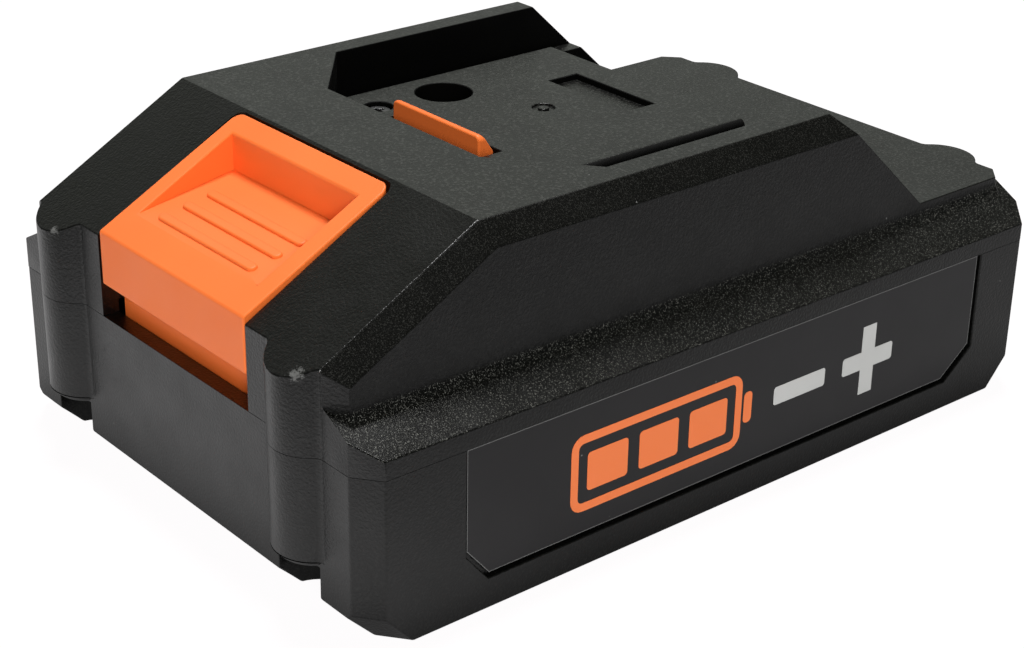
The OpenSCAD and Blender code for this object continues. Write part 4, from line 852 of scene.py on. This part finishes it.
# %% Board
TRACK_SCALE, LACQUER_SCALE, BOARD_CORNER, BOARD_THIN, SQUARE = 330, 400, 1.2, 1.0, 1.2
board_green, tree, place, shader = finish_tree("board_green")
blocky = {"feature": "F1", "distance": "CHEBYCHEV"}
tracks = add_node(tree, "ShaderNodeTexVoronoi", blocky, Vector=place, Scale=TRACK_SCALE)
lines = maths(tree, "PINGPONG", maths(tree, "MULTIPLY", tracks.outputs["Distance"], 4.0), 1.0)
copper = spread(tree, lines, 0.62, 0.72, 0.0, 1.0)
tint = blend_colours(tree, copper, (0.006, 0.075, 0.032, 1), (0.014, 0.13, 0.06, 1))
tree.links.new(tint, shader.inputs["Base Color"])
rough = spread(tree, noise(tree, place, LACQUER_SCALE), 0.3, 0.7, 0.25, 0.35)
tree.links.new(rough, shader.inputs["Roughness"])
bump(tree, shader, copper, 0.6, 0.03)
bm = merged_copy("circuit_board")
corners = [e for e in bm.edges if span(e, Z) > BOARD_THIN and e.calc_face_angle() > SQUARE]
round_edges(bm, corners, BOARD_CORNER, 5)
finished(bm, "green_board", [board_green], ["circuit_board"])

# %% Parts on the board
resin = grained_plastic(
    "component_black", (0.009, 0.009, 0.0095), (0.014, 0.014, 0.0145), (2600, 2, 0.012), (0.4, 0.5))
part_grey = grained_plastic(
    "component_grey", (0.06, 0.062, 0.064), (0.085, 0.088, 0.09), (2600, 2, 0.012), (0.45, 0.55))
BOARD_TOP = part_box("circuit_board")[1].z / MM
LEG_T, LEG_OUT, LEG_BEND, FOOT_Z = 0.18, 0.25, 0.2, 0.1
BODY_ROUND, CHIP_ROUND = 0.15, 0.12
SWITCHES, SWITCH_PITCH, SWITCH_LEGS = 4, 7.5, (-1.5, 0, 1.5)
PINS, PIN_PITCH, PIN_SET = 8, 0.8, 0.7
# Width, height at the body and length of the foot.
FRONT_LEG, BACK_TAB, CHIP_PIN = (0.7, 0.7, 0.7), (3.6, 0.3, 0.6), (0.35, 0.5, 0.4)


def leg(bm, x, y, out, width, rise, run):
    face = bmesh.ops.create_grid(bm, x_segments=1, y_segments=1, size=0.5)["verts"]
    bmesh.ops.scale(bm, verts=face, vec=(width * MM, LEG_T * MM, 1))
    stand = Matrix.Translation(Vector((x, y, BOARD_TOP + rise)) * MM) @ Matrix.Rotation(
        math.atan2(out[1], out[0]) + math.pi / 2, 4, "Z") @ Matrix.Rotation(math.pi / 2, 4, "X")
    bmesh.ops.transform(bm, verts=face, matrix=stand)
    end = [face[0].link_faces[0]]
    for away, down in ((LEG_OUT, 0), (LEG_BEND, rise - FOOT_Z), (run, 0)):
        made = bmesh.ops.extrude_face_region(bm, geom=end)["geom"]
        end = [f for f in made if isinstance(f, bmesh.types.BMFace)]
        step = Vector((out[0] * away, out[1] * away, -down)) * MM
        moved = [v for v in made if isinstance(v, bmesh.types.BMVert)]
        bmesh.ops.translate(bm, verts=moved, vec=step)


def legs(name, rows):
    bm = bmesh.new()
    for row in rows:
        leg(bm, *row)
    bmesh.ops.recalc_face_normals(bm, faces=bm.faces)
    finished(bm, name, [tin])


bm = merged_copy("power_transistors")
round_edges(bm, sharp_edges(bm), BODY_ROUND)
finished(bm, "switch_bodies", [resin], ["power_transistors"])
switch_front, switch_back = (corner.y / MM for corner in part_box("power_transistors"))
switch_x = [(i - (SWITCHES - 1) / 2) * SWITCH_PITCH for i in range(SWITCHES)]
front_legs = [(x + set_x, switch_front, (0, -1), *FRONT_LEG)
              for x in switch_x for set_x in SWITCH_LEGS]
back_tabs = [(x, switch_back, (0, 1), *BACK_TAB) for x in switch_x]
legs("switch_legs", front_legs + back_tabs)

bm = merged_copy("controller_chip")
round_edges(bm, sharp_edges(bm), CHIP_ROUND)
finished(bm, "chip_body", [resin], ["controller_chip"])
chip_low, chip_high = (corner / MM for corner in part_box("controller_chip"))
pin_y = [chip_low.y + PIN_SET + PIN_PITCH * i for i in range(PINS)]
pins = [(x, y, out, *CHIP_PIN)
        for x, out in ((chip_low.x, (-1, 0)), (chip_high.x, (1, 0))) for y in pin_y]
legs("chip_legs", pins)

# %% Resistor
END_CAP, BAR_ROUND, CUT_SNAP = 1.1, 0.1, 1e-7
bm = merged_copy("sense_resistor")
low, high = (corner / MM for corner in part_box("sense_resistor"))
cuts = (low.x + END_CAP, high.x - END_CAP)
for cut in cuts:
    bmesh.ops.bisect_plane(bm, geom=bm.verts[:] + bm.edges[:] + bm.faces[:], dist=CUT_SNAP,
                           plane_co=(cut * MM, 0, 0), plane_no=(1, 0, 0))
for face in bm.faces:
    middle = face.calc_center_median() / MM
    face.material_index = 0 if cuts[0] <= middle.x <= cuts[1] else 1
round_edges(bm, sharp_edges(bm), BAR_ROUND)
finished(bm, "sense_bar", [part_grey, tin], ["sense_resistor"])

# %% Cans and bead
CAN_PROFILE = (
    (0, 0), (2.0, 0), (2.0, 0.3), (1.85, 0.36), (1.85, 0.5), (2.0, 0.56), (2.0, 1.4), (1.88, 1.56),
    (1.7, 1.6), (1.62, 1.56), (0, 1.56))
CAN_X, CAN_PLACES, CAN_STEPS, CAN_FOOT = -20.0, (-1.1, 4.9, 10.9), 32, 0.33
bm = bmesh.new()
for y in CAN_PLACES:
    row = [bm.verts.new(((CAN_X + r) * MM, y * MM, (BOARD_TOP + z) * MM)) for r, z in CAN_PROFILE]
    line = [bm.edges.new(pair) for pair in zip(row, row[1:])]
    bmesh.ops.spin(bm, geom=row + line, cent=(CAN_X * MM, y * MM, 0), axis=(0, 0, 1),
                   dvec=(0, 0, 0), angle=2 * math.pi, steps=CAN_STEPS, use_merge=True)
bmesh.ops.remove_doubles(bm, verts=bm.verts, dist=MERGE)
bmesh.ops.recalc_face_normals(bm, faces=bm.faces)
for face in bm.faces:
    face.material_index = 1 if face.calc_center_median().z < (BOARD_TOP + CAN_FOOT) * MM else 0
finished(bm, "capacitor_cans", [aluminium, resin], ["capacitors"])

BEAD_TOP = 19.4
bm = merged_copy("thermistor")
for face in bm.faces:
    face.material_index = 1 if face.calc_center_median().z > BEAD_TOP * MM else 0
finished(bm, "heat_bead", [resin, tin], ["thermistor"])

# %% [markdown]
# ## Terminals
# Four forked contacts stand in a moulded block and open towards the rear, where the tool's blades
# come in. Rounded copies of the CAD shapes are enough: a stamped contact has plain flat leaves.

# %% Terminals
BLOCK_ROUND, LEAF_ROUND = 0.2, 0.12
block_grey = grained_plastic(
    "block_grey", (0.03, 0.032, 0.034), (0.042, 0.045, 0.047), (2200, 2, 0.018), (0.4, 0.52))
bm = merged_copy("terminal_block")
round_edges(bm, sharp_edges(bm), BLOCK_ROUND)
finished(bm, "contact_block", [block_grey], ["terminal_block"])
for node, name in (("power_terminals", "power_forks"), ("signal_terminals", "signal_forks")):
    bm = merged_copy(node)
    round_edges(bm, sharp_edges(bm), LEAF_ROUND)
    finished(bm, name, [brass], [node])

# %% [markdown]
# ## Size note
# The size of the dressed part is printed.

# %% Size note and finish
bpy.context.scene.view_settings.view_transform = "Standard"
low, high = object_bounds()
print("visual size in mm:", [round(v / MM, 2) for v in high - low])
